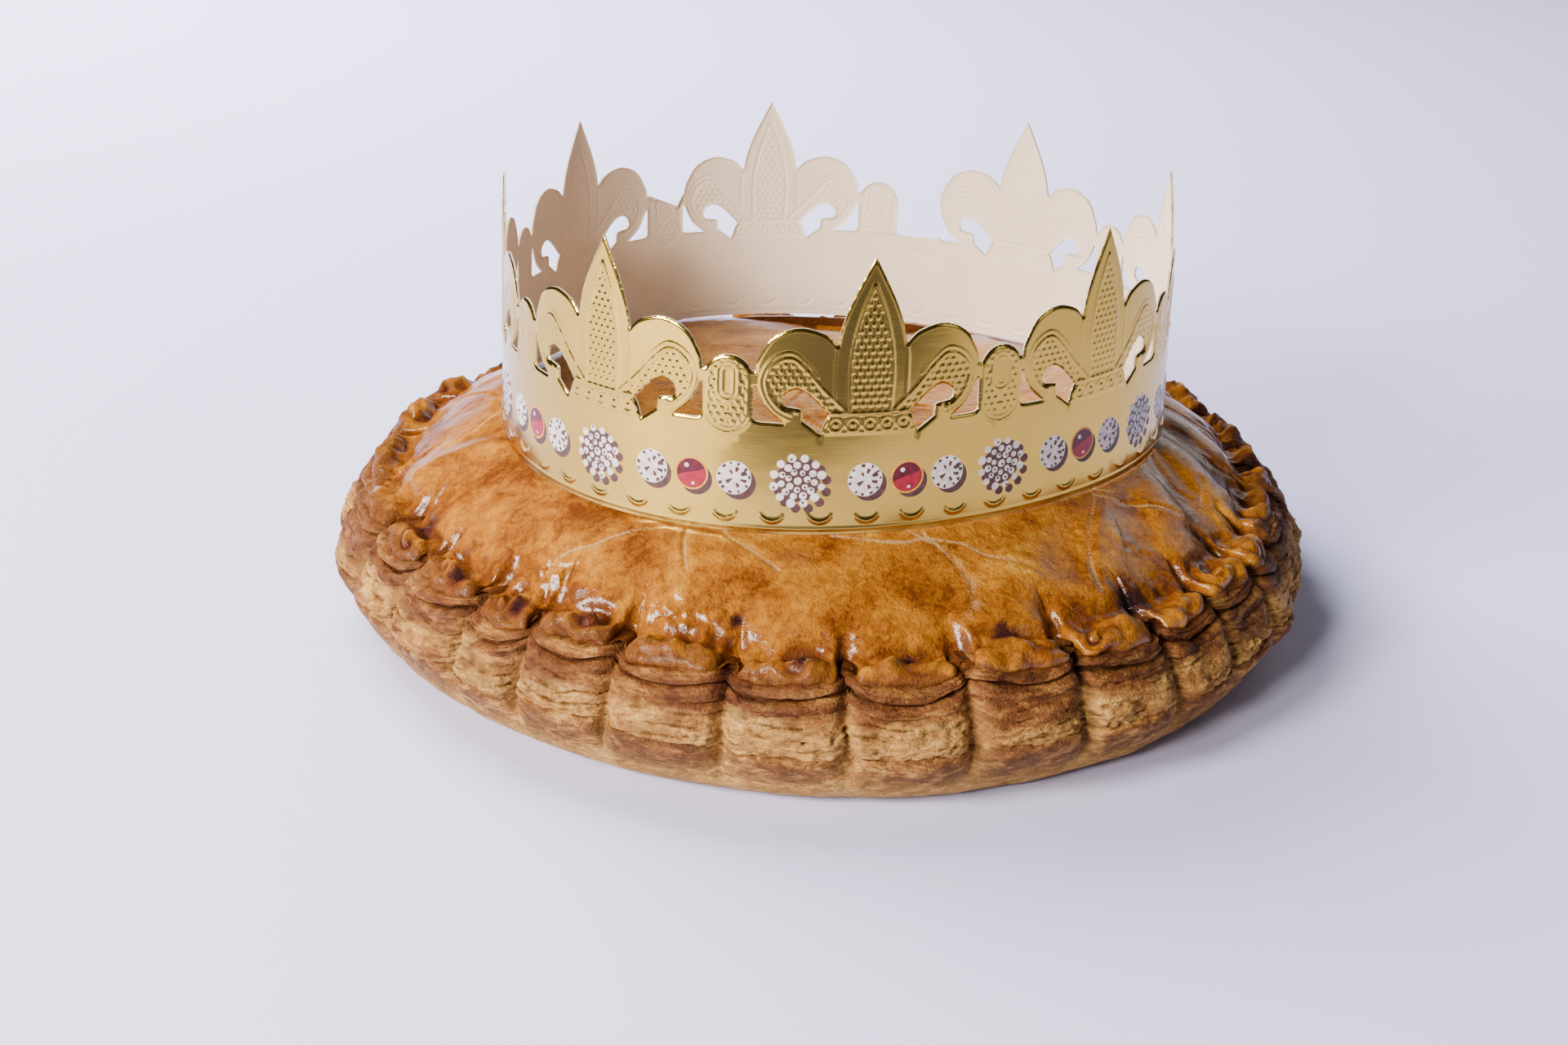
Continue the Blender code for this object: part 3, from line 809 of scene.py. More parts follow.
def build_skin(glaze):
    """The glazed crust from the crown's foot to the pinched lip, with pleats, cuts, knots and blisters."""
    mesh = turned_ring("skin", SKIN_SECTION, 40, domed_rows=56)
    points = points_of(mesh)
    place = values_of(mesh, "place")
    radius, angle, lobe, middle = lobe_places(points)
    dent = 1.0 - np.abs(middle)
    top = rise(place, 10.6, -0.8) * rise(place, 0.0, 0.3)
    clear = rise(radius, 96.5, 5.0)
    wrinkled = rise(radius, 119.0, 8.0)
    depth, reach, knot, twist = lobe_draws(LIP_SEED, 4, 0.0)
    cut, edge = scored(points)
    curl = curls(points, radius, lobe, middle)
    burnt = spots(points, BURNT_SPOTS, 1.5) * rise(radius, 108.0, 6.0)
    relief = (bumps(points, SKIN_PILLOWS) + 0.22 * edge - 0.55 * cut) * clear + pleats(radius, angle)
    valley = bell(dent, 0.16 + 0.5 * rise(radius, 124.0, -14.0))
    valley *= rise(radius - 6.0 * reach[lobe], 110.0, 14.0) * rise(radius, 136.5, -5.0)
    relief -= (1.3 + 1.2 * depth[lobe]) * valley
    crest = bell(radius - 131.5 - 1.2 * noise(points, 7, 94), 2.6) * rise(dent, 0.0, 0.4)
    trough = bell(radius - 126.5 - 1.2 * noise(points, 8, 95), 3.4) * rise(dent, 0.0, 0.5)
    relief += crest * top - (1.4 + 0.8 * knot[lobe]) * trough
    knob = bell(middle - 0.7 * (twist[lobe] - 0.5), 0.28) * bell(radius - 128.0 - 2.0 * knot[lobe], 2.4)
    relief += (2.2 * knot[lobe] + 0.5) * knob * top + 0.95 * curl * rise(dent, 0.0, 0.3)
    folds = 0.6 - 2.0 * np.abs(noise(points, 6.5, 106))
    relief += (bumps(points, SKIN_WRINKLES) + 0.8 * folds) * wrinkled
    relief += 0.12 * noise(points, 3, 98) * rise(radius, 101.0, 10.0)
    ripple = np.abs(noise(points, 2.6, 99)) + 0.5 * np.abs(noise(points, 1.4, 100))
    relief += spots(points, BLISTERS) * (1.5 * ripple - 0.3)
    relief -= 0.5 * burnt * bell(noise(points, 1.7, 101), 0.5)
    relief *= rise(place, 13.2, -0.7)
    push_out(mesh, relief)
    tear = bell(distance_to(polar_run(TEAR), points[:, :2]), 0.9) * (0.7 + 0.5 * noise(points, 3, 102))
    streak = bell(distance_to(polar_run(PALE_STREAK), points[:, :2]), 2.6)
    streak *= 0.55 + 0.45 * noise(points, 4, 103)
    pale = np.maximum(np.maximum(1.15 * cut, tear), streak) * (1.0 - 0.5 * wrinkled)
    add_values(mesh, "pale", held(pale))
    # Painted shade: the glaze is painted darker on the left, through the crest value.
    darker = bell(angle_between(angle, PAINTED_SHADE_ANGLE), PAINTED_SHADE_SPREAD)
    add_values(mesh, "crest", np.clip(0.5 + 0.5 * relief - 0.4 * darker, -1.0, 1.0))
    hollow = rise(-curl, 0.45, 0.4) * (knot[lobe] > 0.4) * top
    add_values(mesh, "burnt", held(np.maximum(burnt, 0.8 * hollow)))
    lighter = bell(angle_between(angle, LIGHTER_ANGLE), LIGHTER_SPREAD)
    browned = rise(radius, 126.5, 3.5) * rise(noise(points, 5, 104), -0.08, 0.3)
    lip = rise(place - 2.4 * lighter - 1.1 * noise(points, 4, 109), 6.4, 1.2)
    add_values(mesh, "lip", held(np.maximum(lip, (0.95 - 0.75 * lighter) * browned)))
    # deep: painted shade in the clefts, under the lip and in the curls' hollows.
    cleft = bell(dent, 0.07) * rise(radius, 126.0, 5.0)
    deep = 0.3 * cleft + 0.8 * rise(place, 10.6, 0.7) + 0.7 * rise(-curl, 0.1, 0.5)
    add_values(mesh, "deep", held(deep))
    finish_piece(mesh, "glazed_crust", "galette", [glaze])


def build_cap(glaze):
    """The crust inside the crown, scored in curved strokes from the middle."""
    mesh = turned_ring("cap", CAP_SECTION, 26, domed_rows=74)
    points = points_of(mesh)
    place = values_of(mesh, "place")
    radius = lobe_places(points)[0]
    cut, edge = scored(points)
    relief = (bumps(points, CAP_BUMPS) - 0.2 + 0.22 * edge - 0.5 * cut) * rise(radius, 93.0, -7.0)
    relief *= rise(place, 2.1, -0.1)
    push_out(mesh, relief)
    add_values(mesh, "pale", held(1.15 * cut))
    add_values(mesh, "crest", held(0.5 + 0.5 * relief))
    for name in ("burnt", "lip", "deep"):
        add_values(mesh, name, np.zeros(len(points)))
    finish_piece(mesh, "crust_inside_crown", "galette", [glaze])


# -------------------------------------------------------------------------------------------- crown


def joined_runs(runs):
    """One closed outline out of smooth runs that each start where the last one ended."""
    return np.concatenate([smooth_run(run, 6 if len(run) > 2 else 1)[:-1] for run in runs])


def oval_shoulder():
    """The oval's round top on the right of a fleur, from its summit down to the bridge."""
    bridge = math.pi - math.asin((OVAL_BRIDGE - OVAL_SHOULDER) / OVAL_HALF_WIDTH)
    angles = np.linspace(math.pi / 2, bridge, 9)
    round_top = OVAL_HALF_WIDTH * np.stack((np.cos(angles), np.sin(angles)), axis=1)
    return round_top + np.array((OVAL_X, OVAL_SHOULDER))


def upper_edge():
    """The cut edge along the top of a fleur's right half, from the oval's summit to the leaf's tip."""
    return np.concatenate((oval_shoulder(), smooth_run(PETAL_RUN, 6), smooth_run(LEAF_RUN, 6)[1:]))


def cut_edges():
    """The upper edge and the two holes of a fleur's right half, as close points."""
    loops = [upper_edge()] + [joined_runs(runs + (runs[0][:2],)) for runs in (HOOK_RUNS, CORNER_RUNS)]
    spaced = []
    for loop in loops:
        for start, end in zip(loop, loop[1:]):
            count = max(1, math.ceil(math.dist(start, end) / 0.25))
            spaced.append(start + (end - start) * np.linspace(0.0, 1.0, count, endpoint=False)[:, None])
    return np.concatenate(spaced)


def capsule(points, half_width, low, high):
    """Distance from the edge of an upright capsule at the oval's place, less than 0 inside it."""
    level = np.clip(points[:, 1], low, high)
    return np.hypot(points[:, 0] - OVAL_X, points[:, 1] - level) - half_width


def ridge(distance, half_width=0.55):
    return held(1.0 - (distance / half_width) ** 2) ** 1.5


def honeycomb(points):
    """Little hexagonal cells, from -0.5 to 1."""
    wave = math.pi * 4 / math.sqrt(3) / HONEYCOMB_PITCH
    turns = (math.pi / 2, math.pi * 7 / 6, math.pi * 11 / 6)
    return sum(np.cos(points @ (wave * np.array((math.cos(turn), math.sin(turn))))) for turn in turns) / 3.0


def foot_relief(points):
    """The row of embossed crescents above the strip's foot, and the fine line under them."""
    x = np.mod(points[:, 0] + CRESCENT_PITCH / 2, CRESCENT_PITCH) - CRESCENT_PITCH / 2
    y = points[:, 1]
    distance = np.abs(np.hypot(x, y - CRESCENT_LEVEL) - CRESCENT_RADIUS)
    thin = 0.35 + 0.45 * held(1.0 - (x / CRESCENT_REACH) ** 2)
    crescent = ridge(distance, thin) * (np.abs(x) < CRESCENT_REACH) * (y < CRESCENT_TOP)
    return 0.26 * crescent + 0.13 * ridge(y - FOOT_LINE, 0.5)


def fleur_relief(points):
    """Everything embossed in a fleur's right half: ridges, honeycomb, ring of dots, oval and rolled edges."""
    x, y = points.T
    relief = np.zeros(len(points))
    for run, steps, height in RIDGES:
        relief = np.maximum(relief, height * ridge(distance_to(smooth_run(run, steps), points)))
    oval = capsule(points, OVAL_HALF_WIDTH, OVAL_FOOT, OVAL_SHOULDER)
    relief = np.maximum(relief, 0.24 * ridge(oval) * (y < OVAL_FOOT))
    relief = np.maximum(relief, 0.14 * ridge(oval + 1.1, 0.45) * (oval < 0.3))
    core = capsule(points, 2.75, 37.8, 42.3)
    relief = np.maximum(relief, 0.20 * ridge(core))
    relief = np.maximum(relief, 0.14 * ridge(core + 1.25, 0.45))
    leaf = np.concatenate((smooth_run(LEAF_RIDGE), [(0.0, 33.0)]))
    crook = np.concatenate((smooth_run(CROOK_RIDGE), [(17.5, 32.8), (8.0, 32.6)]))
    combed = within(leaf, points) | within(crook, points) | ((oval < -1.4) & (core > 0.4))
    relief = relief + HONEYCOMB_HEIGHT * honeycomb(points) * combed * (relief < 0.05)
    low, high = WAIST_LEVELS
    half = (high - low) / 2
    along = np.clip(x, 0.0, WAIST_HALF_WIDTH - half)
    waist = np.hypot(x - along, y - (low + high) / 2) - half
    relief = np.where(waist < 0.0, 0.0, relief)
    relief = np.maximum(relief, 0.26 * ridge(waist) * np.where(y > low + half, 1.0, 0.45))
    ring_x = x - RING_PITCH * np.clip(np.rint(x / RING_PITCH), 0, 2)
    ring = np.hypot(ring_x, y - RING_LEVEL)
    relief = np.maximum(relief, 0.20 * ridge(ring - RING_RADIUS, 0.5))
    relief = np.maximum(relief, 0.30 * held(1.0 - (ring / 0.75) ** 2))
    rolled = held(1.0 - distance_to(cut_edges(), points) / ROLLED_WIDTH)
    return relief * (1.0 - rolled) - ROLLED_DROP * rolled**2


def cut_levels():
    """The places up the strip at which its faces are divided: close together except on the plain band."""
    low, high = PLAIN_BAND
    foot = np.arange(CARD_GRID, low, CARD_GRID)
    plain = np.linspace(low, high, round((high - low) / PLAIN_GRID) + 1)
    return np.concatenate((foot, plain, np.arange(high + CARD_GRID, FLEUR_HEIGHT, CARD_GRID)))


def cut_through(shape, place, across, parts=None, clear_outer=False):
    """Divides a shape, or parts of it, where a plane crosses it; it may lose what lies beyond the plane."""
    parts = parts or shape.verts[:] + shape.edges[:] + shape.faces[:]
    bmesh.ops.bisect_plane(
        shape, geom=parts, dist=1e-5, plane_co=place, plane_no=across, clear_outer=clear_outer
    )


def slants(edge):
    """Whether an edge of the flat card runs neither along it nor up it."""
    start, end = (corner.co for corner in edge.verts)
    return min(abs(start.x - end.x), abs(start.y - end.y)) > 1e-5


def flat_fleur():
    """One fleur with half an oval on each side, cut from flat card in an even grid, embossed through z."""
    shape = bmesh.new()
    outline = np.concatenate(([(0.0, 0.0), (OVAL_X, 0.0)], upper_edge()))
    edges = []
    for loop in (outline, joined_runs(HOOK_RUNS), joined_runs(CORNER_RUNS)):
        corners = [shape.verts.new((x, y, 0.0)) for x, y in loop]
        edges += [shape.edges.new(pair) for pair in zip(corners, corners[1:] + corners[:1])]
    bmesh.ops.triangle_fill(shape, use_beauty=True, use_dissolve=False, edges=edges)
    for x in np.arange(CARD_GRID, OVAL_X - 0.1, CARD_GRID):
        cut_through(shape, (x, 0.0, 0.0), (1.0, 0.0, 0.0))
    for y in cut_levels():
        cut_through(shape, (0.0, y, 0.0), (0.0, 1.0, 0.0))
    needless = [edge for edge in shape.edges if len(edge.link_faces) == 2 and slants(edge)]
    bmesh.ops.dissolve_edges(shape, edges=needless, use_verts=True)
    points = np.array([vertex.co for vertex in shape.verts])[:, :2]
    for vertex, height in zip(shape.verts, fleur_relief(points) + foot_relief(points)):
        vertex.co.z = height
    everything = shape.verts[:] + shape.edges[:] + shape.faces[:]
    bmesh.ops.mirror(shape, geom=everything, merge_dist=1e-4, axis="X")
    return as_mesh(shape, "fleur")


def clear_above(shape, start, top):
    """Takes away what stands above a level past a start, and leaves the band under it plain."""
    cut_through(shape, (start, 0.0, 0.0), (1.0, 0.0, 0.0))
    cut_through(shape, (0.0, top, 0.0), (0.0, 1.0, 0.0))
    middles = [(face, face.calc_center_median()) for face in shape.faces]
    loose = [face for face, middle in middles if middle.x > start and middle.y > top]
    bmesh.ops.delete(shape, geom=loose, context="FACES")
    for vertex in shape.verts:
        if vertex.co.x > start and vertex.co.y > PLAIN_BAND[1]:
            vertex.co.z = 0.0


def round_off_oval(shape, middle):
    """Draws in the stub of a bridge on the last oval, so that its top is round on both sides."""
    for vertex in shape.verts:
        x = vertex.co.x - middle
        y = vertex.co.y - OVAL_SHOULDER
        reach = math.hypot(x, y)
        if x < 0.0 < y and reach > OVAL_HALF_WIDTH:
            vertex.co.x = middle + x * OVAL_HALF_WIDTH / reach
            vertex.co.y = OVAL_SHOULDER + y * OVAL_HALF_WIDTH / reach


def ring_table():
    """Angles round the ring and the length of card up to each of them, from the front."""
    angles = np.linspace(-1.5 * math.pi, 1.5 * math.pi, 4321)
    radii = CROWN_RADIUS * crown_factor(angles)
    steps = np.hypot(np.diff(radii * np.sin(angles)), np.diff(radii * np.cos(angles)))
    lengths = np.concatenate(([0.0], np.cumsum(steps)))
    return angles, lengths - np.interp(0.0, angles, lengths)


def fold_corner(points):
    """Turns down the one folded oval: x along the strip, y up, z through the card."""
    start, end = (np.array(point) for point in FOLD_LINE)
    away = np.array((start[1] - end[1], start[0] - end[0]))
    away /= np.hypot(*away)
    local = points[:, :2] - (FOLDED_OVAL * FLEUR_PITCH, 0.0)
    beyond = np.clip((local - start) @ away, 0.0, None) * (np.abs(local[:, 0]) < OVAL_HALF_WIDTH + 0.2)
    turn = beyond / FOLD_RADIUS
    shift = FOLD_RADIUS * np.sin(turn) - beyond
    points[:, :2] += shift[:, None] * away
    points[:, 2] += FOLD_RADIUS * (1.0 - np.cos(turn)) * (1.0 + points[:, 2] * 0.2)
    return points


def bend(points):
    """Brings points of the flat strip onto the ring: x along it, y up it, z outwards from its inner face."""
    along, up, depth = points.T
    angles, lengths = ring_table()
    angle = np.interp(along + FRONT_FLEUR_ARC, lengths, angles)
    lap = LAP_STEP * smooth_step(1.0 - (along - STRIP_START - LAP_RAMP[0]) / LAP_RAMP[1])
    radius = CROWN_RADIUS * crown_factor(angle) * (1.0 - CROWN_LEAN * up / FLEUR_HEIGHT) + depth + lap
    x = radius * np.sin(angle)
    y = -radius * np.cos(angle)
    level = CROWN_FOOT_HEIGHT + CROWN_SLOPE_X * x + CROWN_SLOPE_Y * y + up
    return np.stack((x + CROWN_CENTRE_X - CROWN_SLOPE_X * up, y - CROWN_SLOPE_Y * up, level), axis=1)


def thicken(shape, faces, thickness):
    """Raises flat faces on walls of a thickness, and returns the raised ones."""
    raised = bmesh.ops.extrude_face_region(shape, geom=faces)["geom"]
    points = [item for item in raised if isinstance(item, bmesh.types.BMVert)]
    bmesh.ops.translate(shape, verts=points, vec=(0.0, 0.0, thickness))
    return {item for item in raised if isinstance(item, bmesh.types.BMFace)}


def flat_length(fleur, first):
    """Two fleurs side by side, with the card's own ends where the strip starts or stops."""
    cells = [first, first + 1]
    cells += [first - 1] * (first == FIRST_FLEUR) + [LAST_FLEUR + 1] * (first + 1 == LAST_FLEUR)
    shape = bmesh.new()
    for cell in cells:
        known = len(shape.verts)
        shape.from_mesh(fleur)
        shape.verts.ensure_lookup_table()
        bmesh.ops.translate(shape, verts=shape.verts[known:], vec=(cell * FLEUR_PITCH, 0.0, 0.0))
    bmesh.ops.remove_doubles(shape, verts=shape.verts, dist=1e-3)
    cut_through(shape, (STRIP_START, 0.0, 0.0), (-1.0, 0.0, 0.0), clear_outer=True)
    cut_through(shape, (STRIP_END, 0.0, 0.0), (1.0, 0.0, 0.0), clear_outer=True)
    if first == FIRST_FLEUR:
        round_off_oval(shape, first * FLEUR_PITCH - OVAL_X)
    if first + 1 == LAST_FLEUR:
        clear_above(shape, LAST_FLEUR * FLEUR_PITCH + CORNER_RUNS[0][0][0], BAND_HEIGHT)
    return shape


FOIL, BARE, EDGE = range(3)


def build_crown(materials):
    """The embossed card in four lengths that meet in the ovals' middles."""
    fleur = flat_fleur()
    for length, first in enumerate(range(FIRST_FLEUR, LAST_FLEUR, 2)):
        shape = flat_length(fleur, first)
        flat = shape.loops.layers.uv.new("card")
        inner_faces = set(shape.faces)
        for face in shape.faces:
            for corner in face.loops:
                corner[flat].uv = corner.vert.co.xy / FLEUR_PITCH
        outer_faces = thicken(shape, shape.faces[:], CARD_THICKNESS)
        for face in shape.faces:
            face.material_index = FOIL if face in outer_faces else BARE if face in inner_faces else EDGE
        bmesh.ops.recalc_face_normals(shape, faces=shape.faces)
        mesh = as_mesh(shape, "crown")
        move_points(mesh, bend(fold_corner(points_of(mesh))))
        finish_piece(mesh, f"crown_card_{length + 1}", "crown", materials, 50.0)


# --------------------------------------------------------------------------------------------- gems


def add_print(shape, outline, layer, colour):
    """Adds one printed spot: a thin plate sunk a little into the card, layer by layer over the last."""
    face = shape.faces.new([shape.verts.new((x, y, CARD_THICKNESS - GEM_SINK)) for x, y in outline])
    face.material_index = colour
    thicken(shape, [face], GEM_SINK + GEM_STEP * layer)


def arc_points(x, y, radius, angles):
    return [(x + radius * math.cos(angle), y + radius * math.sin(angle)) for angle in angles]


def round_spot(x, y, radius, corners=28):
    return arc_points(x, y, radius, np.linspace(0.0, 2 * math.pi, corners, endpoint=False))


def wedge(x, y, inner, outer, turn, half_angle):
    """A small sector of a ring, as the dark facets of a cut stone."""
    start = turn - half_angle
    end = turn + half_angle
    return arc_points(x, y, inner, (start, end)) + arc_points(x, y, outer, (end, start))


WHITE, SHADE, GOLD, MAROON, CRIMSON, BLUSH = range(6)


def print_brilliant(shape, x, spread):
    y = GEM_LEVEL
    add_print(shape, round_spot(x + GEM_SHADOW[0], y + GEM_SHADOW[1], 4.45), 1, SHADE)
    add_print(shape, round_spot(x, y, 4.55), 2, WHITE)
    for count in range(GIRDLE_FACETS):
        turn = 2 * math.pi * (count + spread.uniform(-0.25, 0.25)) / GIRDLE_FACETS
        inner = spread.uniform(3.3, 3.8)
        add_print(shape, wedge(x, y, inner, 4.35, turn, spread.uniform(0.06, 0.13)), 3, SHADE)
    for facets, colour in ((DARK_FACETS, SHADE), (BLUSH_FACETS, BLUSH)):
        for turn, inner, outer, half_angle in facets:
            add_print(shape, wedge(x, y, inner, outer, turn, half_angle), 3, colour)


def print_ruby(shape, x, spread):
    y = GEM_LEVEL
    add_print(shape, round_spot(x + GEM_SHADOW[0], y + GEM_SHADOW[1], 4.3), 1, SHADE)
    add_print(shape, round_spot(x, y, 4.5, 32), 2, GOLD)
    add_print(shape, round_spot(x, y, 3.95, 32), 3, MAROON)
    belly = arc_points(x, y, 3.75, np.linspace(math.radians(-165), math.radians(25), 17))
    brow = [(x + 2.3, y + 1.0), (x + 0.2, y + 0.35), (x - 1.9, y - 0.2)]
    add_print(shape, belly + brow, 4, CRIMSON)
    add_print(shape, round_spot(x - 1.3, y + 2.0, 0.62, 12), 5, WHITE)
    add_print(shape, round_spot(x + 0.5, y - 2.7, 0.45, 10), 5, WHITE)


def print_cluster(shape, x, spread):
    y = GEM_LEVEL
    stones, reach, _ = CLUSTER_RINGS[0]
    for count in range(stones):
        turn = 2 * math.pi * (count + 0.5) / stones
        place = arc_points(x + GEM_SHADOW[0], y + GEM_SHADOW[1], reach, [turn])[0]
        add_print(shape, round_spot(*place, 1.25, 12), 1, SHADE)
    add_print(shape, round_spot(x, y, 5.7), 2, SHADE)
    for ring, (stones, reach, size) in enumerate(CLUSTER_RINGS):
        for count in range(stones):
            turn = 2 * math.pi * (count + 0.5 + 0.35 * ring) / stones
            place = arc_points(x, y, reach, [turn])[0]
            add_print(shape, round_spot(*place, size * spread.uniform(0.75, 1.02), 10), 3, WHITE)
            speck = (place[0] + spread.uniform(-0.4, 0.4), place[1] + spread.uniform(-0.4, 0.4))
            if ring or count % 3 == 0:
                add_print(shape, round_spot(*speck, 0.36, 6), 4, SHADE if spread.random() < 0.6 else BLUSH)


PRINTERS = {"cluster": print_cluster, "brilliant": print_brilliant, "ruby": print_ruby}


def build_gems(inks):
    """The printed gems, laid out flat along the strip and bent round with it."""
    shape = bmesh.new()
    spread = np.random.default_rng(GEM_SEED)
    count = math.floor((STRIP_START - FIRST_CLUSTER) / GEM_PERIOD)
    lapped = STRIP_START + np.ptp(ring_table()[1]) / 1.5 - LAP_MARGIN
    for turn in range(13):
        for kind, offset in GEM_PLACES:
            place = FIRST_CLUSTER + GEM_PERIOD * (count + turn) + offset
            if STRIP_START + GEM_MARGIN < place < min(STRIP_END - GEM_MARGIN, lapped):
                PRINTERS[kind](shape, place, spread)
    low = min(vertex.co.x for vertex in shape.verts)
    high = max(vertex.co.x for vertex in shape.verts)
    for place in np.arange(low + GEM_BEND, high, GEM_BEND):
        reached = [vertex for vertex in shape.verts if abs(vertex.co.x - place) < 20.0]
        parts = list({face for vertex in reached for face in vertex.link_faces})
        parts += list({edge for vertex in reached for edge in vertex.link_edges}) + reached
        cut_through(shape, (place, 0.0, 0.0), (1.0, 0.0, 0.0), parts)
    bmesh.ops.recalc_face_normals(shape, faces=shape.faces)
    mesh = as_mesh(shape, "gems")
    move_points(mesh, bend(points_of(mesh)))
    finish_piece(mesh, "printed_gems", "crown", inks, 30.0)


# ---------------------------------------------------------------------------------------- materials


def new_material(name, roughness):
    material = bpy.data.materials.new(name)
    material.use_nodes = True
    shader = material.node_tree.nodes["Principled BSDF"]
    shader.inputs["Roughness"].default_value = roughness
    return material, material.node_tree, shader


def lumps(tree, coordinates, scale, shift, detail, rough, swirl):
    """Noise over coordinates that are scaled and shifted first."""
    mapping = tree.nodes.new("ShaderNodeMapping")
    mapping.inputs["Scale"].default_value = scale
    mapping.inputs["Location"].default_value = shift
    node = tree.nodes.new("ShaderNodeTexNoise")
    node.inputs["Scale"].default_value = 1.0
    node.inputs["Detail"].default_value = detail
    node.inputs["Roughness"].default_value = rough
    node.inputs["Distortion"].default_value = swirl
    tree.links.new(coordinates, mapping.inputs["Vector"])
    tree.links.new(mapping.outputs["Vector"], node.inputs["Vector"])
    return node.outputs["Fac"]


def speckle(tree, size, detail=2.0, rough=0.5, shift=0.0, swirl=0.0):
    """Noise over the piece, with lumps of a size in millimetres, or of a size along each axis."""
    source = tree.nodes.new("ShaderNodeTexCoord")
    scale = tuple(1.0 / (np.broadcast_to(np.asarray(size, float), 3) * MM))
    shifts = (shift, shift * 0.7, shift * 1.3)
    return lumps(tree, source.outputs["Object"], scale, shifts, detail, rough, swirl)


def stored(tree, name):
    """One of the numbers kept on the piece's points."""
    node = tree.nodes.new("ShaderNodeAttribute")
    node.attribute_name = name
    return node.outputs["Fac"]


def spread_out(tree, value, low, high, to_low=0.0, to_high=1.0):
    """Brings a value's range from low to high onto another range, and holds it there."""
    node = tree.nodes.new("ShaderNodeMapRange")
    node.inputs["From Min"].default_value = low
    node.inputs["From Max"].default_value = high
    node.inputs["To Min"].default_value = to_low
    node.inputs["To Max"].default_value = to_high
    tree.links.new(value, node.inputs["Value"])
    return node.outputs["Result"]


def reckon(tree, kind, first, second):
    """Adds, multiplies or otherwise joins two values, of which the second may be a plain number."""
    node = tree.nodes.new("ShaderNodeMath")
    node.operation = kind
    tree.links.new(first, node.inputs[0])
    if isinstance(second, float):
        node.inputs[1].default_value = second
    else:
        tree.links.new(second, node.inputs[1])
    return node.outputs["Value"]


def added(tree, *values):
    """The sum of several values."""
    total = values[0]
    for value in values[1:]:
        total = reckon(tree, "ADD", total, value)
    return total


def times(tree, first, second):
    return reckon(tree, "MULTIPLY", first, second)


def shades(tree, value, stops):
    """Colours along a value from 0 to 1."""
    node = tree.nodes.new("ShaderNodeValToRGB")
    while len(node.color_ramp.elements) < len(stops):
        node.color_ramp.elements.new(0.5)
    for element, (place, colour) in zip(node.color_ramp.elements, stops):
        element.position = place
        element.color = (*colour, 1.0)
    tree.links.new(value, node.inputs["Fac"])
    return node.outputs["Color"]


def covered(tree, under, colour, share):
    """One colour over another where a value says so."""
    node = tree.nodes.new("ShaderNodeMix")
    node.data_type = "RGBA"
    tree.links.new(under, node.inputs["A"])
    if isinstance(colour, tuple):
        node.inputs["B"].default_value = (*colour, 1.0)
    else:
        tree.links.new(colour, node.inputs["B"])
    tree.links.new(share, node.inputs["Factor"])
    return node.outputs["Result"]


def raise_surface(tree, shader, heights, socket="Normal"):
    """Fine bumps: each value with its height in millimetres."""
    normal = None
    for value, height in heights:
        node = tree.nodes.new("ShaderNodeBump")
        node.inputs["Distance"].default_value = height * MM
        tree.links.new(value, node.inputs["Height"])
        if normal:
            tree.links.new(normal, node.inputs["Normal"])
        normal = node.outputs["Normal"]
    tree.links.new(normal, shader.inputs[socket])


def egg_glaze():
    """Egg-washed crust: pale gold to amber mottling under a thin uneven shine, pale cuts, browned knots,
    painted shade in its creases and on the left.
    """
    material, tree, shader = new_material("egg_glazed_crust", 0.4)
    broad = speckle(tree, 15.0, 3.0, 0.55)
    mottle = speckle(tree, 4.5, 5.0, 0.65, 3.0, 0.8)
    freckles = speckle(tree, 1.6, 4.0, 0.75, 5.0, 0.8)
    grain = speckle(tree, 0.7, 3.0, 0.7, 7.0)
    ripple = speckle(tree, 2.2, 4.0, 0.65, 11.0, 0.6)
    pale = stored(tree, "pale")
    depth = added(
        tree,
        spread_out(tree, broad, 0.34, 0.66, 0.0, 0.48),
        spread_out(tree, mottle, 0.36, 0.64, 0.0, 0.38),
        spread_out(tree, freckles, 0.35, 0.65, -0.16, 0.16),
        spread_out(tree, grain, 0.3, 0.7, -0.10, 0.10),
        # crest: lighter on raised crust and darker in its hollows; on the skin it also carries the painted
        # shade on the left.
        spread_out(tree, stored(tree, "crest"), -1.0, 1.0, -0.36, 0.12),
    )
    colour = shades(tree, depth, GLAZE_SHADES)
    cut = added(tree, pale, spread_out(tree, grain, 0.3, 0.7, -0.2, 0.2))
    colour = covered(tree, colour, CUT_CREAM, spread_out(tree, cut, 0.35, 0.95))
    lip = times(tree, stored(tree, "lip"), spread_out(tree, mottle, 0.3, 0.6, 0.6, 1.0))
    colour = covered(tree, colour, shades(tree, freckles, TOASTED_SHADES), lip)
    colour = covered(tree, colour, GLAZE_SHADOW, times(tree, stored(tree, "deep"), 0.8))
    scorch = added(tree, stored(tree, "burnt"), spread_out(tree, freckles, 0.3, 0.7, -0.3, 0.3))
    colour = covered(tree, colour, SINGED, spread_out(tree, scorch, 0.15, 0.55))
    colour = covered(tree, colour, CHARRED, spread_out(tree, scorch, 0.50, 0.95))
    tree.links.new(colour, shader.inputs["Base Color"])
    dull = added(tree, spread_out(tree, mottle, 0.3, 0.75, 0.28, 0.50), times(tree, pale, 0.25))
    tree.links.new(dull, shader.inputs["Roughness"])
    shader.inputs["Specular IOR Level"].default_value = 0.06
    tree.links.new(spread_out(tree, lip, 0.1, 0.7, 0.70, 0.10), shader.inputs["Coat Weight"])
    shader.inputs["Coat Roughness"].default_value = 0.09
    raise_surface(tree, shader, ((grain, 0.30), (ripple, 0.70)))
    raise_surface(tree, shader, ((grain, 0.05), (ripple, 0.20)), "Coat Normal")
    return material


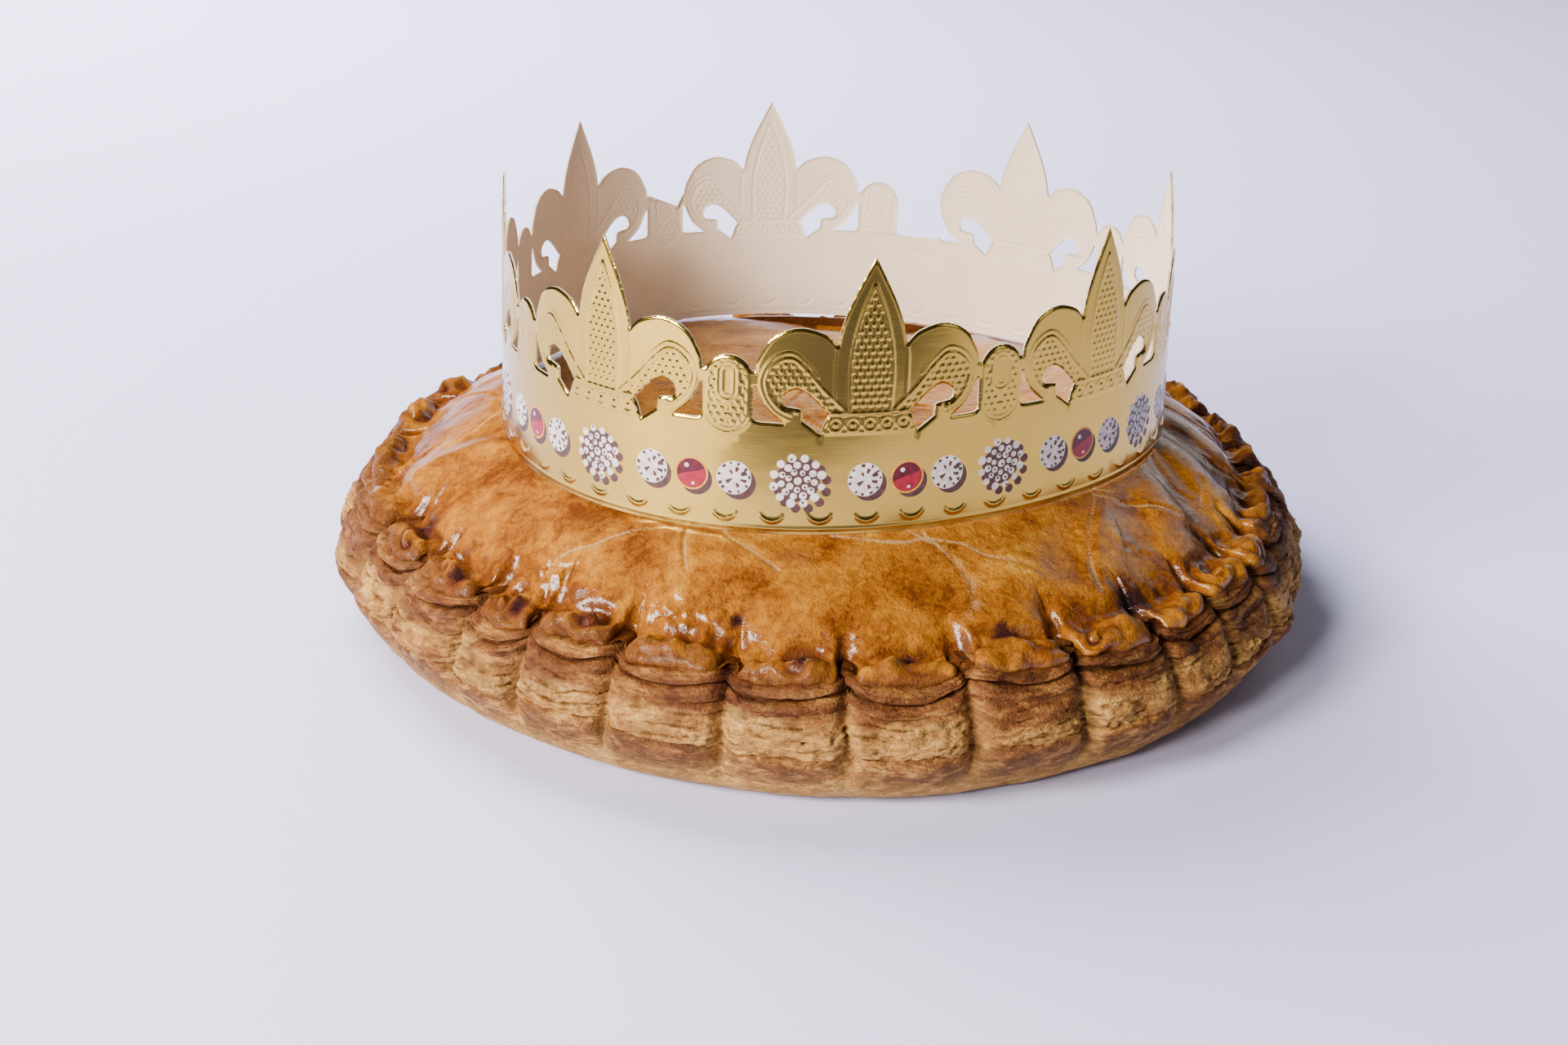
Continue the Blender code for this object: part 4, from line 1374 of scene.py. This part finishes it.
def baked_dough(name, size, contrast):
    """Unglazed dough: tan with pale and brown lumps of a size, with painted shade in its cracks."""
    material, tree, shader = new_material(name, 0.7)
    mottle = speckle(tree, size, 4.0, 0.65, 0.0, 0.5)
    blotch = speckle(tree, (13.0, 13.0, 8.0), 3.0, 0.6, 5.0)
    layers = speckle(tree, (3.2, 3.2, 0.8), 3.0, 0.7, 13.0)
    grain = speckle(tree, (1.0, 1.0, 0.8), 3.0, 0.7, 9.0)
    crumb = speckle(tree, (2.6, 2.6, 1.6), 3.0, 0.65, 17.0)
    pale = stored(tree, "pale")
    tone = added(
        tree,
        spread_out(tree, mottle, 0.38, 0.62, 0.0, contrast),
        spread_out(tree, blotch, 0.32, 0.68, -0.08, 0.28),
        spread_out(tree, grain, 0.3, 0.7, -0.12, 0.12),
        times(tree, pale, spread_out(tree, layers, 0.38, 0.62, -0.25, 0.40)),
        spread_out(tree, stored(tree, "toast"), -1.0, 1.0, -0.45, 0.45),
    )
    colour = shades(tree, tone, DOUGH_SHADES)
    colour = covered(tree, colour, DOUGH_CREAM, times(tree, pale, 0.45))
    colour = covered(tree, colour, DOUGH_SHADOW, times(tree, stored(tree, "deep"), 0.75))
    tree.links.new(colour, shader.inputs["Base Color"])
    tree.links.new(spread_out(tree, mottle, 0.3, 0.7, 0.5, 0.75), shader.inputs["Roughness"])
    shader.inputs["Specular IOR Level"].default_value = 0.15
    raise_surface(tree, shader, ((grain, 0.60), (layers, 0.55), (crumb, 0.60)))
    return material


def strip_noise(tree, along, up):
    """Noise drawn out along the card, with lengths in millimetres along and up it."""
    source = tree.nodes.new("ShaderNodeUVMap")
    source.uv_map = "card"
    scale = (FLEUR_PITCH / along, FLEUR_PITCH / up, 1.0)
    return lumps(tree, source.outputs["UV"], scale, (0.0, 0.0, 0.0), 2.0, 0.5, 0.0)


def gold_foil():
    """Pale gold foil with fine brushing along the strip."""
    material, tree, shader = new_material("gold_foil", 0.28)
    brushing = strip_noise(tree, 12.0, 0.30)
    cloud = strip_noise(tree, 30.0, 14.0)
    shader.inputs["Metallic"].default_value = 1.0
    tree.links.new(shades(tree, cloud, GOLD_SHADES), shader.inputs["Base Color"])
    tree.links.new(spread_out(tree, brushing, 0.3, 0.7, 0.13, 0.19), shader.inputs["Roughness"])
    raise_surface(tree, shader, ((brushing, 0.004), (cloud, 0.10)))
    return material


def bare_card(name, colour, darker):
    """The card's uncoated side."""
    material, tree, shader = new_material(name, 0.6)
    fibre = speckle(tree, 0.7, 3.0, 0.6)
    cloud = speckle(tree, 12.0, 2.0, 0.5, 3.0)
    tone = added(tree, times(tree, fibre, 0.35), times(tree, cloud, 0.65))
    tree.links.new(shades(tree, tone, ((0.3, darker), (0.65, colour))), shader.inputs["Base Color"])
    raise_surface(tree, shader, ((fibre, 0.03),))
    return material


def ink(name, colour, lighter, roughness):
    """Glossy print in one colour, a little uneven."""
    material, tree, shader = new_material(name, roughness)
    cloud = speckle(tree, 1.6, 2.0, 0.5, 2.0)
    tree.links.new(shades(tree, cloud, ((0.35, colour), (0.68, lighter))), shader.inputs["Base Color"])
    shader.inputs["Specular IOR Level"].default_value = 0.3
    return material


def gem_inks():
    """The print's inks, in the order of the numbers WHITE to BLUSH."""
    return [
        ink("white_ink", (0.52, 0.45, 0.43), (0.70, 0.63, 0.60), 0.35),
        ink("shadow_ink", (0.050, 0.022, 0.020), (0.090, 0.040, 0.034), 0.40),
        ink("amber_ink", (0.52, 0.19, 0.008), (0.70, 0.30, 0.02), 0.30),
        ink("maroon_ink", (0.060, 0.004, 0.008), (0.110, 0.007, 0.013), 0.30),
        ink("crimson_ink", (0.230, 0.006, 0.016), (0.330, 0.010, 0.026), 0.30),
        ink("blush_ink", (0.52, 0.30, 0.33), (0.66, 0.42, 0.44), 0.35),
    ]


# -------------------------------------------------------------------------------------------- stage


def add_paper(name, place, size, colour, roughness):
    """A flat sheet of paper lying on the table, which isn't part of the pie."""
    sheet = bmesh.new()
    bmesh.ops.create_grid(sheet, x_segments=1, y_segments=1, size=size)
    bmesh.ops.translate(sheet, verts=sheet.verts, vec=place)
    material, _, shader = new_material(f"{name}_paper", roughness)
    shader.inputs["Base Color"].default_value = (*colour, 1.0)
    mesh = as_mesh(sheet, name)
    mesh.materials.append(material)
    paper = add_object(name, mesh)
    return paper


def add_light(name, place, aim, size, power, colour):
    data = bpy.data.lights.new(name, "AREA")
    data.shape = "RECTANGLE"
    data.size, data.size_y = size
    data.energy = power
    data.color = colour
    light = add_object(name, data)
    light.location = place
    light.rotation_euler = (Vector(aim) - Vector(place)).to_track_quat("-Z", "Y").to_euler()
    light.visible_camera = False
    light.visible_glossy = name != "backlight"


def add_camera():
    data = bpy.data.cameras.new("camera")
    data.sensor_width = 36.0
    data.lens = CAMERA_LENS
    data.clip_start = 0.01
    camera = add_object("camera", data)
    turn = Matrix.Rotation(CAMERA_TURN, 4, "Z")
    tip = Matrix.Rotation(CAMERA_TIP, 4, "X")
    roll = Matrix.Rotation(CAMERA_ROLL, 4, "Z")
    camera.matrix_world = Matrix.Translation(CAMERA_PLACE) @ turn @ tip @ roll
    bpy.context.scene.camera = camera


def add_world():
    world = bpy.data.worlds.new("studio")
    world.use_nodes = True
    background = world.node_tree.nodes["Background"]
    background.inputs["Color"].default_value = (0.90, 0.90, 0.95, 1.0)
    background.inputs["Strength"].default_value = 0.06
    bpy.context.scene.world = world


def add_studio():
    """The floor, a dark card out of view that paints a dark reflection into the crown's front foil, lights
    and camera.
    """
    add_paper("floor", (0.0, 0.0, -0.0001), 6.0, (0.62, 0.605, 0.900), 0.6)
    # Painted reflection: a dark card that the camera, the diffuse light and the shadows don't see; only
    # reflections in the foil show it.
    reflection_card = add_paper("reflection_card", (0.12, -0.56, 0.001), 0.25, (0.055, 0.062, 0.15), 0.8)
    reflection_card.visible_camera = False
    reflection_card.visible_diffuse = False
    reflection_card.visible_shadow = False
    for light in LIGHTS:
        add_light(*light)
    add_world()
    add_camera()


def main():
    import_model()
    layers = baked_dough("baked_layers", (5.0, 5.0, 2.0), 0.42)
    glaze = egg_glaze()
    build_side(baked_dough("baked_underside", (5.0, 5.0, 2.6), 0.72))
    build_flakes(layers)
    build_rolls(layers)
    build_skin(glaze)
    build_cap(glaze)
    inside = bare_card("bare_card", (0.740, 0.600, 0.470), (0.700, 0.560, 0.430))
    edge = bare_card("card_edge", (0.580, 0.460, 0.320), (0.490, 0.375, 0.250))
    build_crown([gold_foil(), inside, edge])
    build_gems(gem_inks())
    add_studio()


main()
